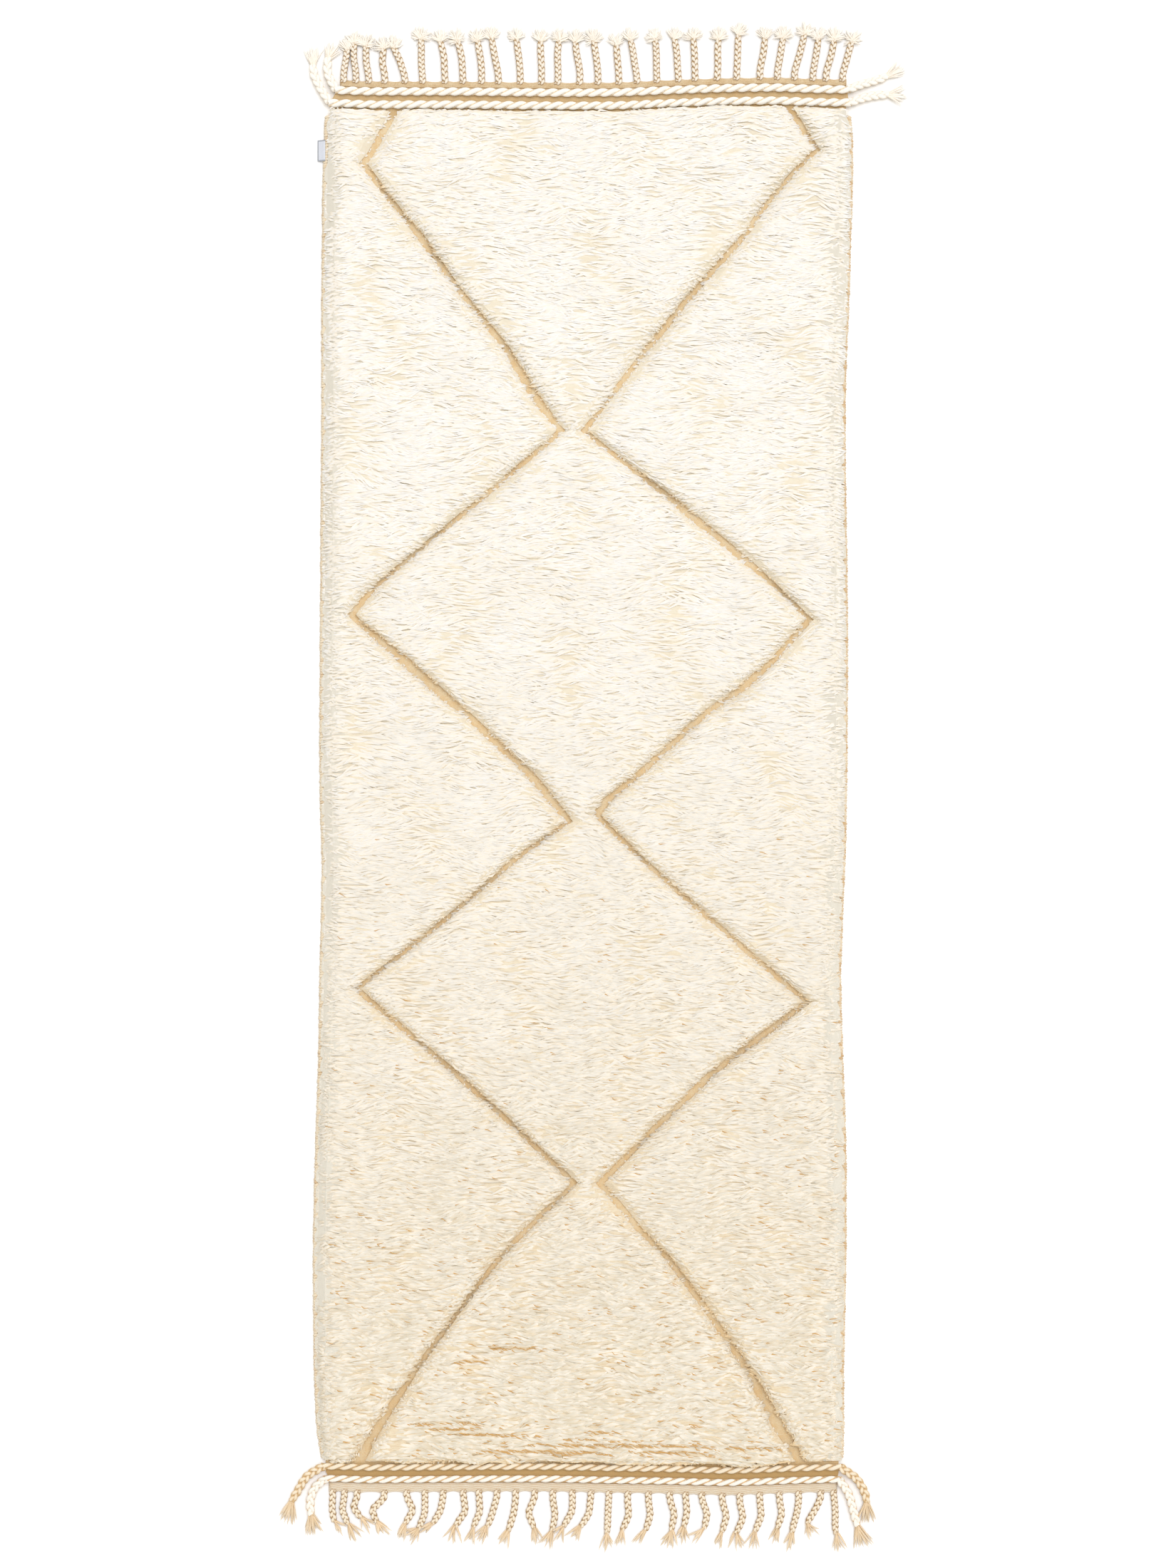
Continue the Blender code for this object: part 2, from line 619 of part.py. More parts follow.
def edge_label(surface, collection):
    """A small woven tag, sewn over the left selvedge. It is left bare."""
    row = cross_row(LABEL_PLACE)
    side = row.left - GAP - SELVEDGE_WIDTH
    bm = bmesh.new()
    bmesh.ops.create_grid(bm, x_segments=len(LABEL_SECTION) - 1, y_segments=1, size=1.0)
    for vertex in bm.verts:
        inwards, height = LABEL_SECTION[round((1 - vertex.co.x) / 2 * (len(LABEL_SECTION) - 1))]
        y = LABEL_PLACE + vertex.co.y * LABEL_LENGTH / 2
        vertex.co = (side + inwards, y, height)
    made = finish(bm, "edge_label", surface, collection)
    thickness = made.modifiers.new("thickness", "SOLIDIFY")
    thickness.thickness = LABEL_THICKNESS
    thickness.offset = 0.0
    return made


def main():
    for item in list(bpy.data.objects):
        bpy.data.objects.remove(item)
    rug = bpy.data.collections.new("beni_ourain_rug")
    bpy.context.scene.collection.children.link(rug)
    wool = material("combed_wool", WOOL, 0.85)
    warm = material("plaited_wool", WARM_WOOL, 0.85)
    tan = material("flat_weave", TAN_WEAVE, 0.9)
    pile_field(wool, rug)
    selvedge("selvedge_left", -1, tan, rug)
    selvedge("selvedge_right", 1, tan, rug)
    for cord in CORDS:
        chain_cord(cord, warm, rug)
    fringe("fringe_upper", UPPER_HEADING, UPPER_STRANDS, warm, rug)
    fringe("fringe_lower", LOWER_HEADING, LOWER_STRANDS, warm, rug)
    edge_label(material("label_weave", LABEL_WHITE, 0.6), rug)


main()
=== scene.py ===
# %% [markdown]
# # A hand-knotted wool runner, lying on a pale floor
#
# The real rug is one piece of cloth with many thousands of wool locks knotted into it. Two bare
# lines zigzag down its length, and each end is finished with chain-stitched cords and plaits.
#
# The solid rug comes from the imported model, which is loaded first and never changed. This script
# dresses it: it lays wool, stitches, cords and plaits where the solids are, and hides the solids.

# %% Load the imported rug
import math

import bmesh
import bpy
import numpy as np
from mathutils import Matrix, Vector
from mathutils.bvhtree import BVHTree


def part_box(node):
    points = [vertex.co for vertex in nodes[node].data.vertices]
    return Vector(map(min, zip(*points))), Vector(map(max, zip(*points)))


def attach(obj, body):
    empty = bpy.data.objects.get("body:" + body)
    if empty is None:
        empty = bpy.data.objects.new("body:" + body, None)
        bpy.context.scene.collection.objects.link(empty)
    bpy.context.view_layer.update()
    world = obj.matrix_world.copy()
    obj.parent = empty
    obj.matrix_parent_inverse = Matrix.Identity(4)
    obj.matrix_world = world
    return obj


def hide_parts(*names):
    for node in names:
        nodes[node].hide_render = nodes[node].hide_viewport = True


MM = 0.001  # a millimetre, in metres
SEED = 11  # every random draw starts from this, so the rug is the same each time

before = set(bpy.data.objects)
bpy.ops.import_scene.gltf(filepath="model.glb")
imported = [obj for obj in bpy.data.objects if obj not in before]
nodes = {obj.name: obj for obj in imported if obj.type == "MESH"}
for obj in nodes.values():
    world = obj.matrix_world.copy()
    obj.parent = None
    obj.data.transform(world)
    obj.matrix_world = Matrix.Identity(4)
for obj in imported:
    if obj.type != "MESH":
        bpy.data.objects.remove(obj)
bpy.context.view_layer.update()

# %% [markdown]
# ## Camera
#
# The photograph looks straight down from far away, with the whole rug in the frame. A long lens
# does the same. The distance follows from the real height that the frame takes in, so the rug
# gets the same size in the picture as in the photograph.

# %% Camera straight above the rug
PHOTO_SIZE = (1650, 2200)  # pixels, width and height
PIXEL = 1.081 * MM  # what one pixel of the photograph spans on the rug
RUG_MIDDLE = (818.5, 1107.5)  # the pixel that the rug's own middle falls on
PILE_LEVEL = 18.0 * MM  # the height at which that size holds
LENS = 85.0  # millimetres
SENSOR = 36.0  # millimetres, along the taller side of the frame
VIEW_DEPTH = 50.0  # metres

camera_data = bpy.data.cameras.new("overhead_camera")
camera_data.lens = LENS
camera_data.sensor_width = SENSOR
camera_data.clip_end = VIEW_DEPTH
camera = bpy.data.objects.new("overhead_camera", camera_data)
bpy.context.scene.collection.objects.link(camera)
bpy.context.scene.camera = camera
camera.location = (
    (PHOTO_SIZE[0] / 2 - RUG_MIDDLE[0]) * PIXEL,
    (RUG_MIDDLE[1] - PHOTO_SIZE[1] / 2) * PIXEL,
    PILE_LEVEL + PHOTO_SIZE[1] * PIXEL * LENS / SENSOR,
)
print("camera height:", round(camera.location.z, 3), "m")

# %% [markdown]
# ## Numbers and nodes in a material
#
# Every finish below is a small network of shader nodes. Written out node by node it would be
# long, so two helpers keep it short. An Amount is a number that varies over the surface: sums
# and products of amounts become Math nodes. A Finish is one material, and its node method makes
# any other node. What is the same all over stays on the shader's own sockets.


# %% Amounts: arithmetic that becomes Math nodes
class Amount:
    """One output socket of a material. Arithmetic on it adds Math nodes."""

    def __init__(self, finish, socket):
        self.finish = finish
        self.socket = socket

    def maths(self, operation, *terms):
        sockets = dict(enumerate(terms))
        return self.finish.node("Math", {"operation": operation}, sockets)

    def __add__(self, other):
        return self.maths("ADD", self, other)

    def __sub__(self, other):
        return self.maths("SUBTRACT", self, other)

    def __rsub__(self, other):
        return self.maths("SUBTRACT", other, self)

    def __mul__(self, other):
        return self.maths("MULTIPLY", self, other)

    __radd__ = __add__
    __rmul__ = __mul__

    def sine(self):
        return self.maths("SINE", self)

    def unsigned(self):
        return self.maths("ABSOLUTE", self)

    def above(self, low, high, between="SMOOTHSTEP"):
        """0 below low, 1 above high, smooth in between."""
        settings = {"interpolation_type": between}
        return self.finish.node("MapRange", settings, {0: self, 1: low, 2: high})


print("Amount: + - *, sine and unsigned add Math nodes, above adds a Map Range node")


# %% Finishes: one material each
class Finish:
    """A material that is being built round its Principled shader."""

    def __init__(self, name, roughness, **constants):
        self.material = bpy.data.materials.new(name)
        self.material.use_nodes = True
        self.tree = self.material.node_tree
        self.shader = self.tree.nodes["Principled BSDF"]
        self.shader.inputs["Roughness"].default_value = roughness
        for name_in_snake_case, value in constants.items():
            socket = name_in_snake_case.replace("_", " ").title()
            self.shader.inputs[socket].default_value = value

    def feed(self, socket, value):
        """Puts a link or a plain value on an input socket."""
        if isinstance(value, Amount):
            self.tree.links.new(value.socket, socket)
        elif hasattr(value, "__len__") and len(value) == 3 and socket.type == "RGBA":
            socket.default_value = (*value, 1.0)
        else:
            socket.default_value = value

    def node(self, kind, settings=None, sockets=None, output=0):
        """Adds a node, sets it up, feeds its sockets and returns one of its outputs."""
        made = self.tree.nodes.new("ShaderNode" + kind)
        for name, setting in (settings or {}).items():
            setattr(made, name, setting)
        for name, value in (sockets or {}).items():
            self.feed(made.inputs[name], value)
        return Amount(self, made.outputs[output])

    def place(self):
        """The point on the surface, in metres."""
        return self.node("TexCoord", output="Object")

    def axis(self, number):
        """One coordinate of that point: 0 is X, 1 is Y and 2 is Z."""
        return self.node("SeparateXYZ", {}, {0: self.place()}, output=number)

    def attribute(self, name):
        """A number that each point of the mesh carries."""
        return self.node("Attribute", {"attribute_name": name}, output="Fac")

    def noise(self, vector, scale, detail=2.0):
        sockets = {"Vector": vector, "Scale": scale, "Detail": detail}
        return self.node("TexNoise", {}, sockets, output=0)

    def mix(self, share, first, second):
        """The first colour where share is 0, the second where it is 1."""
        sockets = {0: share, 6: first, 7: second}
        return self.node("Mix", {"data_type": "RGBA"}, sockets, output=2)

    def colour(self, value):
        self.feed(self.shader.inputs["Base Color"], value)

    def bump(self, height, depth):
        normal = self.node("Bump", {}, {"Height": height, "Distance": depth})
        self.feed(self.shader.inputs["Normal"], normal)

    def finished(self):
        """The material itself, with a line that says how large it became."""
        print(f"{self.material.name}: {len(self.tree.nodes)} nodes")
        return self.material


print("Finish: one Principled shader and whatever feeds it")

# %% [markdown]
# ## Floor
#
# The rug lies on a plain, pale floor. One large square is enough for it.

# %% Floor
FLOOR_SIZE = 8.0  # metres from its middle to each side
FLOOR_DROP = 0.3 * MM  # keeps the floor just under the wool
FLOOR_PATCHES = 3.0  # about so many soft patches to the metre
FLOOR_PALE = (0.94, 0.94, 0.94)
FLOOR_PALER = (0.96, 0.96, 0.96)

bm = bmesh.new()
bmesh.ops.create_grid(bm, x_segments=1, y_segments=1, size=FLOOR_SIZE)
bmesh.ops.translate(bm, verts=bm.verts, vec=(0, 0, -FLOOR_DROP))
floor_mesh = bpy.data.meshes.new("floor")
bm.to_mesh(floor_mesh)
bm.free()
floor = bpy.data.objects.new("floor", floor_mesh)
bpy.context.scene.collection.objects.link(floor)

paint = Finish("pale_floor", roughness=0.9)
paint.colour(paint.mix(paint.noise(paint.place(), FLOOR_PATCHES), FLOOR_PALE, FLOOR_PALER))
floor_mesh.materials.append(paint.finished())
print("floor:", 2 * FLOOR_SIZE, "m square")

# %% [markdown]
# ## Light
#
# The photograph is bright and almost free of shadows, with the light coming from above the rug's
# far end. A very soft sun from that side models the pile, and a white world fills in the rest.
# The world is a little warm and the sun a little cool. Together they make white, and what the sun
# doesn't reach stays warm, as the shade between locks of white wool is. Lamps of a certain size
# would do too, but a sun lights both ends of so long a rug alike.

# %% World
WORLD_WARMTH = (1.0, 0.975, 0.925, 1.0)
WORLD_STRENGTH = 0.79

world = bpy.data.worlds.new("white_room")
world.use_nodes = True
background = world.node_tree.nodes["Background"]
background.inputs["Color"].default_value = WORLD_WARMTH
background.inputs["Strength"].default_value = WORLD_STRENGTH
bpy.context.scene.world = world
print("world strength:", WORLD_STRENGTH)

# %% Sun
SUN_HEIGHT = math.radians(70)
SUN_SIDE = math.radians(30)  # turned a little to the right
SUN_STRENGTH = 1.7
SUN_COOLNESS = (0.98, 1.0, 1.05)
SUN_SOFTNESS = math.radians(45)

sun_data = bpy.data.lights.new("soft_sun", "SUN")
sun_data.energy = SUN_STRENGTH
sun_data.color = SUN_COOLNESS
sun_data.angle = SUN_SOFTNESS
sun = bpy.data.objects.new("soft_sun", sun_data)
bpy.context.scene.collection.objects.link(sun)
towards_sun = Vector((
    math.sin(SUN_SIDE) * math.cos(SUN_HEIGHT),
    math.cos(SUN_SIDE) * math.cos(SUN_HEIGHT),
    math.sin(SUN_HEIGHT),
))
sun.rotation_euler = towards_sun.to_track_quat("Z", "Y").to_euler()
bpy.context.scene.view_settings.view_transform = "Standard"
print("sun from", [round(x, 2) for x in towards_sun])

# %% [markdown]
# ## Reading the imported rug
#
# The pile has to lie on the solid rug, so its heights are read off that solid: a ray is dropped
# on each point of a fine grid. A Shrinkwrap modifier could hold one mesh to it, but here tens of
# thousands of locks need a height at any place, and a grid of heights is quick to look up. A
# second set of rays from below finds where the cloth itself is, without the locks that hang over
# its sides. The cloth's edges come from rays inside the weave.

# %% Drop rays on the solid rug
STEP = 2.5 * MM  # of the grid of rays
MARGIN = 4  # steps that the grid goes past the solid on each side
FAR = 0.1  # where a ray starts, above or below

rug_solid = nodes["pile_field"].data
rug_tree = BVHTree.FromPolygons(
    [vertex.co for vertex in rug_solid.vertices],
    [tuple(face.vertices) for face in rug_solid.polygons],
)
low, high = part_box("pile_field")
grid_x = np.arange(low.x - MARGIN * STEP, high.x + MARGIN * STEP, STEP)
grid_y = np.arange(low.y - MARGIN * STEP, high.y + MARGIN * STEP, STEP)


def survey(start, missed):
    """Heights where rays from z = start meet the rug, on the whole grid, or missed."""
    down = Vector((0, 0, -1 if start > 0 else 1))
    heights = np.full((len(grid_y), len(grid_x)), missed)
    for row, y in enumerate(grid_y):
        for column, x in enumerate(grid_x):
            hit = rug_tree.ray_cast(Vector((x, y, start)), down)[0]
            if hit is not None:
                heights[row, column] = hit.z
    return heights


top_map = survey(FAR, 0.0)
foot_map = survey(-FAR, FAR)
print("rays:", top_map.size * 2, "highest pile:", round(top_map.max() / MM, 1), "mm")

# %% Look a height up anywhere


def read(heights, x, y):
    """The map's value at these places, between its grid points."""
    last = 1.001  # just short of the last cell, so that there is always a next one
    across = np.clip((np.asarray(x) - grid_x[0]) / STEP, 0, len(grid_x) - last)
    along = np.clip((np.asarray(y) - grid_y[0]) / STEP, 0, len(grid_y) - last)
    column, row = across.astype(int), along.astype(int)
    right, up = across - column, along - row
    near = heights[row, column] * (1 - right) + heights[row, column + 1] * right
    far = heights[row + 1, column] * (1 - right) + heights[row + 1, column + 1] * right
    return near * (1 - up) + far * up


def soften(heights, cells):
    """Each cell becomes the mean of its neighbours, cells away on each side."""
    for axis in (0, 1):
        shifted = [np.roll(heights, step, axis) for step in range(-cells, cells + 1)]
        heights = np.mean(shifted, axis=0)
    return heights


print("pile at the rug's middle:", round(float(read(top_map, 0.0, 0.0)) / MM, 1), "mm high")

# %% Where the cloth ends
WEAVE_HALF = 2.0 * MM  # half way up the flat weave
WITHIN_END = 0.9  # y: a ray that starts here, or from
WITHIN_SIDE = 0.36  # this x, is still inside the weave
CORNERS = (-0.37, 0.38)  # x: past these, the cloth's end is taken to be as it is there


def cloth_end(x, side):
    """y where the cloth ends at this x: side is 1 for the far end and -1 for the near one."""
    x = min(max(x, CORNERS[0]), CORNERS[1])
    start = Vector((x, side * WITHIN_END, WEAVE_HALF))
    return rug_tree.ray_cast(start, Vector((0, side, 0)))[0].y


def cloth_side(y, side):
    """x of the cloth's side at this y: side is 1 for the right and -1 for the left."""
    start = Vector((side * WITHIN_SIDE, y, WEAVE_HALF))
    return rug_tree.ray_cast(start, Vector((side, 0, 0)))[0].x


print("cloth ends at y", round(cloth_end(0, -1), 3), "and", round(cloth_end(0, 1), 3), "m")

# %% Where there is pile, and how near its edges are
PILE_LEAST = 9.0 * MM  # the solid rug is higher than this wherever it carries pile
CLOTH_FOOT = 1.0 * MM  # and lies lower than this, unlike the locks that hang over its sides
EDGE_CELLS = 3  # how many steps of the grid the pile's edges are softened over
EDGE_SHARE = 0.97  # a place with less pile than this round it is near an edge
EDGE_SPAN = 0.45  # and one with so much less is at the edge

carries_pile = ((top_map > PILE_LEAST) & (foot_map < CLOTH_FOOT)).astype(float)
pile_share = soften(carries_pile, EDGE_CELLS)


def near_edge(x, y):
    """0 well inside the pile, 1 at an edge of it."""
    return np.clip((EDGE_SHARE - read(pile_share, x, y)) / EDGE_SPAN, 0, 1)


print("share of the grid that carries pile:", round(float(carries_pile.mean()), 2))

# %% [markdown]
# ## Yarn
#
# Locks, plaits, cords and stitches are all lengths of yarn: a tube that follows a path and gets
# thicker or thinner on its way. A curve with a round bevel would do for one of them, but there
# are tens of thousands. So one straight tube is modelled with bmesh, as a cone or a cylinder
# with cuts across it. Each copy is then bent along its own path with a few lines of array
# maths, and all the copies become one mesh.


# %% One straight length of yarn
class Yarn:
    """A straight tube. Each vertex knows its ring along the tube and its angle round it."""

    def __init__(self, sides, rings, pointed):
        bm = bmesh.new()
        length = float(rings - 1)
        tip = 0.0 if pointed else 1.0
        bmesh.ops.create_cone(
            bm, cap_ends=True, segments=sides, radius1=1.0, radius2=tip, depth=length
        )
        # Only the edges from end to end are cut
        lengthwise = [edge for edge in bm.edges if edge.calc_length() > length * 0.99]
        bmesh.ops.subdivide_edges(bm, edges=lengthwise, cuts=rings - 2, use_grid_fill=True)
        self.sides = sides
        self.rings = rings
        self.ring = np.array([round(v.co.z + length / 2) for v in bm.verts])
        self.angle = np.array([math.atan2(v.co.y, v.co.x) for v in bm.verts])
        self.crest = np.sin(self.angle)
        self.faces = [[v.index for v in face.verts] for face in bm.faces]
        bm.free()

    def bend(self, paths, widths, heights, sides=None, roll=None):
        """Vertices of a copy along each path. paths is (copies, rings, 3)."""
        along = np.gradient(paths, axis=1)
        along /= np.linalg.norm(along, axis=2, keepdims=True)
        if sides is None:
            sides = np.cross(along, (0.0, 0.0, 1.0))
            sides /= np.linalg.norm(sides, axis=2, keepdims=True)
        tops = np.cross(sides, along)
        angle = self.angle if roll is None else self.angle + roll[:, None]
        wide = (np.cos(angle) * widths[:, self.ring])[..., None]
        high = (np.sin(angle) * heights[:, self.ring])[..., None]
        return paths[:, self.ring] + sides[:, self.ring] * wide + tops[:, self.ring] * high


print("a lock of wool, pointed and with three sides:", Yarn(3, 3, True).ring.size, "points")

# %% [markdown]
# ## Many copies, one mesh
#
# Each copy also gets a tile of its own on a map, named OFBake, that colours can be baked to. Four
# attributes serve the materials: how far along its yarn a point is, where it is across the yarn,
# how high it sits on its crest, and a random number for each copy, its tint.

# %% Places on a copy's tile
TILE_MARGIN = 0.06
CAP_SHARE = 0.1  # of a tile's height, for the ends of the tube


def tile_places(yarn):
    """For each corner of each face of the yarn: its place in the copy's tile, from 0 to 1."""
    places = []
    # Which side each vertex starts, counted from the top
    around = np.round((yarn.angle / (2 * math.pi) - 0.25) * -yarn.sides).astype(int) % yarn.sides
    last = yarn.rings - 1
    for face in yarn.faces:
        rings = yarn.ring[face]
        # An end of the tube becomes a small oval at the foot of the tile
        if rings.min() == rings.max():
            across = 0.5 + 0.4 * np.cos(yarn.angle[face])
            up = CAP_SHARE * (0.25 + 0.2 * np.sin(yarn.angle[face]))
            up = up + (rings.max() > 0) * 0.5 * CAP_SHARE
            places += list(zip(across, up))
            continue
        # A side is unrolled over the rest of it
        turn = around[face].astype(float)
        if turn.max() - turn.min() > 1.5:
            turn[turn < 0.5] += yarn.sides
        if len(face) == 3:
            tip = int(np.argmax(rings))
            turn[tip] = np.delete(turn, tip).mean()
        for where, ring in zip(turn, rings):
            places.append((where / yarn.sides, CAP_SHARE + (1 - CAP_SHARE) * ring / last))
    return np.array(places)


print("a lock's corners have", len(tile_places(Yarn(3, 3, True))), "places on its tile")

# %% Join the copies into one mesh
SHARP = math.radians(75)  # edges that turn by more than this stay sharp


def join(name, batches, material):
    """One object from several batches, each (yarn, vertices of the copies, tints, crests)."""
    points, corners, starts, tiles = [], [], [], []
    values = {"along": [], "across": [], "crest": [], "tint": []}
    count = sum(len(batch[1]) for batch in batches)
    across = math.ceil(math.sqrt(count))
    first_point, first_corner, first_tile = 0, 0, 0
    for yarn, vertices, tint, crest in batches:
        copies, size = vertices.shape[:2]
        points.append(vertices.reshape(-1, 3))
        own = np.concatenate(yarn.faces)
        offsets = first_point + np.arange(copies) * size
        corners.append((offsets[:, None] + own).ravel())
        own_starts = np.cumsum([0] + [len(face) for face in yarn.faces[:-1]])
        starts.append((first_corner + np.arange(copies)[:, None] * own.size + own_starts).ravel())
        values["along"].append(np.tile(yarn.ring / (yarn.rings - 1), copies))
        values["across"].append(np.tile(np.cos(yarn.angle), copies))
        values["crest"].append(np.broadcast_to(crest, (copies, size)).ravel())
        values["tint"].append(np.repeat(tint, size))
        # The tiles lie in rows on the map
        tile = first_tile + np.arange(copies)
        corner = np.stack([tile % across, tile // across], axis=1)[:, None]
        inside = TILE_MARGIN + (1 - 2 * TILE_MARGIN) * tile_places(yarn)
        tiles.append(((corner + inside) / across).reshape(-1, 2))
        first_point += copies * size
        first_corner += copies * own.size
        first_tile += copies
    return build(name, points, corners, starts, values, tiles, material)


def build(name, points, corners, starts, values, tiles, material):
    """The mesh itself, its attributes and its map, from lists of arrays."""
    mesh = bpy.data.meshes.new(name)
    points, corners, starts = (np.concatenate(part) for part in (points, corners, starts))
    mesh.vertices.add(len(points))
    mesh.vertices.foreach_set("co", points.ravel())
    mesh.loops.add(len(corners))
    mesh.loops.foreach_set("vertex_index", corners)
    mesh.polygons.add(len(starts))
    mesh.polygons.foreach_set("loop_start", starts)
    mesh.update(calc_edges=True)
    for attribute, parts in values.items():
        made = mesh.attributes.new(attribute, "FLOAT", "POINT")
        made.data.foreach_set("value", np.concatenate(parts).astype(np.float32))
    baked = mesh.uv_layers.new(name="OFBake")
    baked.data.foreach_set("uv", np.concatenate(tiles).ravel())
    mesh.shade_smooth()
    mesh.set_sharp_from_angle(angle=SHARP)
    mesh.materials.append(material)
    made = bpy.data.objects.new(name, mesh)
    bpy.context.scene.collection.objects.link(made)
    triangles = len(corners) - 2 * len(starts)
    print(f"{name}: {triangles} triangles")
    return made


print("join and build: ready to turn copies into a mesh")

# %% [markdown]
# ## The flat weave
#
# Under everything lies a flat weave of tan wool. It shows along the two bare lines and between
# the cords. A plane with a bump pattern would be quicker, but the bare lines are real grooves and
# the solid rug already has them. So a copy of the solid is merged, and the pile on it is pressed
# down, most of all along its edges: the locks will stand on it, and only the shade between them
# will show it.

# %% Flat weave with the pile's undergrowth
MERGE_WITHIN = 0.01 * MM  # the solid comes as loose triangles
WEAVE_TOP = 4.4 * MM  # what is lower than this stays as it is
UNDERGROWTH_DROP = 2.0 * MM  # and the pile is pressed down by this much,
EDGE_DROP = 6.0 * MM  # by this much more along an edge, where its wool lies lower too,
DROP_AT_MOST = 0.6  # but never by more than this share of its height

bm = bmesh.new()
bm.from_mesh(rug_solid)
bmesh.ops.remove_doubles(bm, verts=bm.verts, dist=MERGE_WITHIN)
for vertex in bm.verts:
    if vertex.co.z > WEAVE_TOP:
        drop = UNDERGROWTH_DROP + EDGE_DROP * float(near_edge(vertex.co.x, vertex.co.y))
        vertex.co.z -= min(drop, DROP_AT_MOST * (vertex.co.z - WEAVE_TOP))
weave_mesh = bpy.data.meshes.new("flat_weave")
bm.to_mesh(weave_mesh)
bm.free()
weave_mesh.shade_flat()
flat_weave = bpy.data.objects.new("flat_weave", weave_mesh)
bpy.context.scene.collection.objects.link(flat_weave)
print("flat_weave:", len(weave_mesh.polygons), "faces")

# %% [markdown]
# ## Finish of the flat weave
#
# It is a plain weave: cream weft passes over and under tan warp, with the threads just under a
# millimetre apart. A picture of cloth could be laid on it, but the threads are only two sines,
# along X and along Y. Their product gives the chequer of overs and unders, and two noises make
# the wool uneven. The headings at both ends are woven the same way, so the weave is a helper.

# %% Helper for woven finishes
THREAD = 1.6 * MM  # from one thread to the next but one
SPECKLE_SCALE = 500.0
PATCH_SCALE = 90.0
THREAD_DEPTH = 0.3 * MM  # of the relief


def weave_material(name, dark, light):
    """A finish that is being built, its woven colour, and its threads as a height."""
    finish = Finish(name, roughness=0.9)
    waves = 2 * math.pi / THREAD
    weft = (finish.axis(1) * waves).sine()
    warp = (finish.axis(0) * waves).sine()
    chequer = weft * warp
    speckle = finish.noise(finish.place(), SPECKLE_SCALE, 1.0)
    patches = finish.noise(finish.place(), PATCH_SCALE)
    # The noises decide which yarn shows, and the chequer tips the balance from thread to thread
    share = (chequer * 0.25 + speckle * 1.3 + patches * 1.2 - 0.75).above(0.15, 0.85)
    return finish, finish.mix(share, dark, light), chequer + speckle


def stretched(finish, across, along, up):
    """The point on the surface, with each axis multiplied, for a pattern longer one way."""
    factors = (across, along, up)
    return finish.node("VectorMath", {"operation": "MULTIPLY"}, {0: finish.place(), 1: factors})


print("a thread every", round(THREAD / 2 / MM, 1), "mm")

# %% [markdown]
# The tan gets deeper under the cords at both ends and a little towards the near end: the weave's
# own tan, with painted shade under the cords and painted shade that darkens the near end. Where
# the pile stands, higher up, the colour turns to painted shade: wool in shade between the locks,
# over the warmer tone of wool low in the pile, with short streaks of deeper painted shade for the
# gaps between rows. Both are palest at the far end and warmest and darkest at the near one, and
# along the sides they are as pale as the wool above.

# %% Material of the flat weave
TAN = (0.85, 0.61, 0.32)
TAN_LIGHT = (0.91, 0.76, 0.52)
# The weave's own deeper tan, with painted shade under the cords and towards the near end
TAN_DEEP_SHADED = (0.60, 0.39, 0.16)
# Painted shade: where the pile stands, the weave is coloured as wool in the shade between locks,
# over the warmer tone of wool low in the pile
SHADED_WOOL = (0.90, 0.77, 0.56)
SHADED_PALE = (0.94, 0.86, 0.69)  # the same at the far end
# Painted shade, deeper and warmer, for the gaps between rows
GAP_SHADE_ORANGE = (0.80, 0.62, 0.39)
GAP_SHADE_PALE = (0.93, 0.82, 0.64)  # the same at the far end
SIDE_WOOL = (0.82, 0.77, 0.66)
NEARING = (0.6, -1.3)  # y: between these the far end's colours turn into the near end's
NEAR_CORDS_FROM = (-1.018, -1.036)  # y: between these the tan gets deeper
FAR_CORDS_FROM = (1.012, 1.026)
PILE_FEET = (4.6 * MM, 6.0 * MM)  # z: from here up it carries pile
SIDE_STRIP = (0.350, 0.372)  # distance from the rug's middle line
STREAK_SHAPE = (90.0, 700.0, 300.0)  # streaks to the metre along X, Y and Z

ground, ground_colour, ground_relief = weave_material("flat_weave", TAN, TAN_LIGHT)
nearness = ground.axis(1).above(*NEARING)
near_end = ground.axis(1).above(*NEAR_CORDS_FROM)
far_end = ground.axis(1).above(*FAR_CORDS_FROM)
# Painted shade under the cords at both ends and towards the near end, over the weave's own deeper
# tan
deep_and_shaded = (nearness * 0.25 + near_end + far_end * 0.6).above(0.0, 1.0, "LINEAR")
ground_colour = ground.mix(deep_and_shaded, ground_colour, TAN_DEEP_SHADED)
in_pile = ground.axis(2).above(*PILE_FEET)
# Painted shade for the undergrowth: streaks of gap shade among shaded wool
streaks = ground.noise(stretched(ground, *STREAK_SHAPE), 1.0).above(0.30, 0.60)
gap = ground.mix(nearness, GAP_SHADE_PALE, GAP_SHADE_ORANGE)
shaded_wool = ground.mix(nearness, SHADED_PALE, SHADED_WOOL)
undergrowth = ground.mix(streaks, gap, shaded_wool)
at_side = ground.axis(0).unsigned().above(*SIDE_STRIP)
undergrowth = ground.mix(at_side, undergrowth, SIDE_WOOL)
ground.colour(ground.mix(in_pile, ground_colour, undergrowth))
ground.bump(ground_relief, THREAD_DEPTH)
weave_mesh.materials.append(ground.finished())

# %% [markdown]
# ## Combed wool
#
# Rows of knots run across the rug. The wool of each knot is long enough to fall over, and combing
# has laid nearly all of it sideways, so it reads as soft streaks with short gaps where two rows
# part. Towards the near end the gaps grow longer, until the orange-brown root of the wool shows.
# At a bare line whole tufts hang over the edge unevenly, and along the sides the wool falls over
# the binding.
#
# Blender's hair would be quick to grow, but every piece here is a mesh. A bump pattern would be
# lighter still, but it has no outline and no real gaps. So each lock is a pointed tube with three
# sides and ten triangles, which is few enough to have tens of thousands of them.
#
# First the script needs unevenness that is always the same: a few long waves that cross.

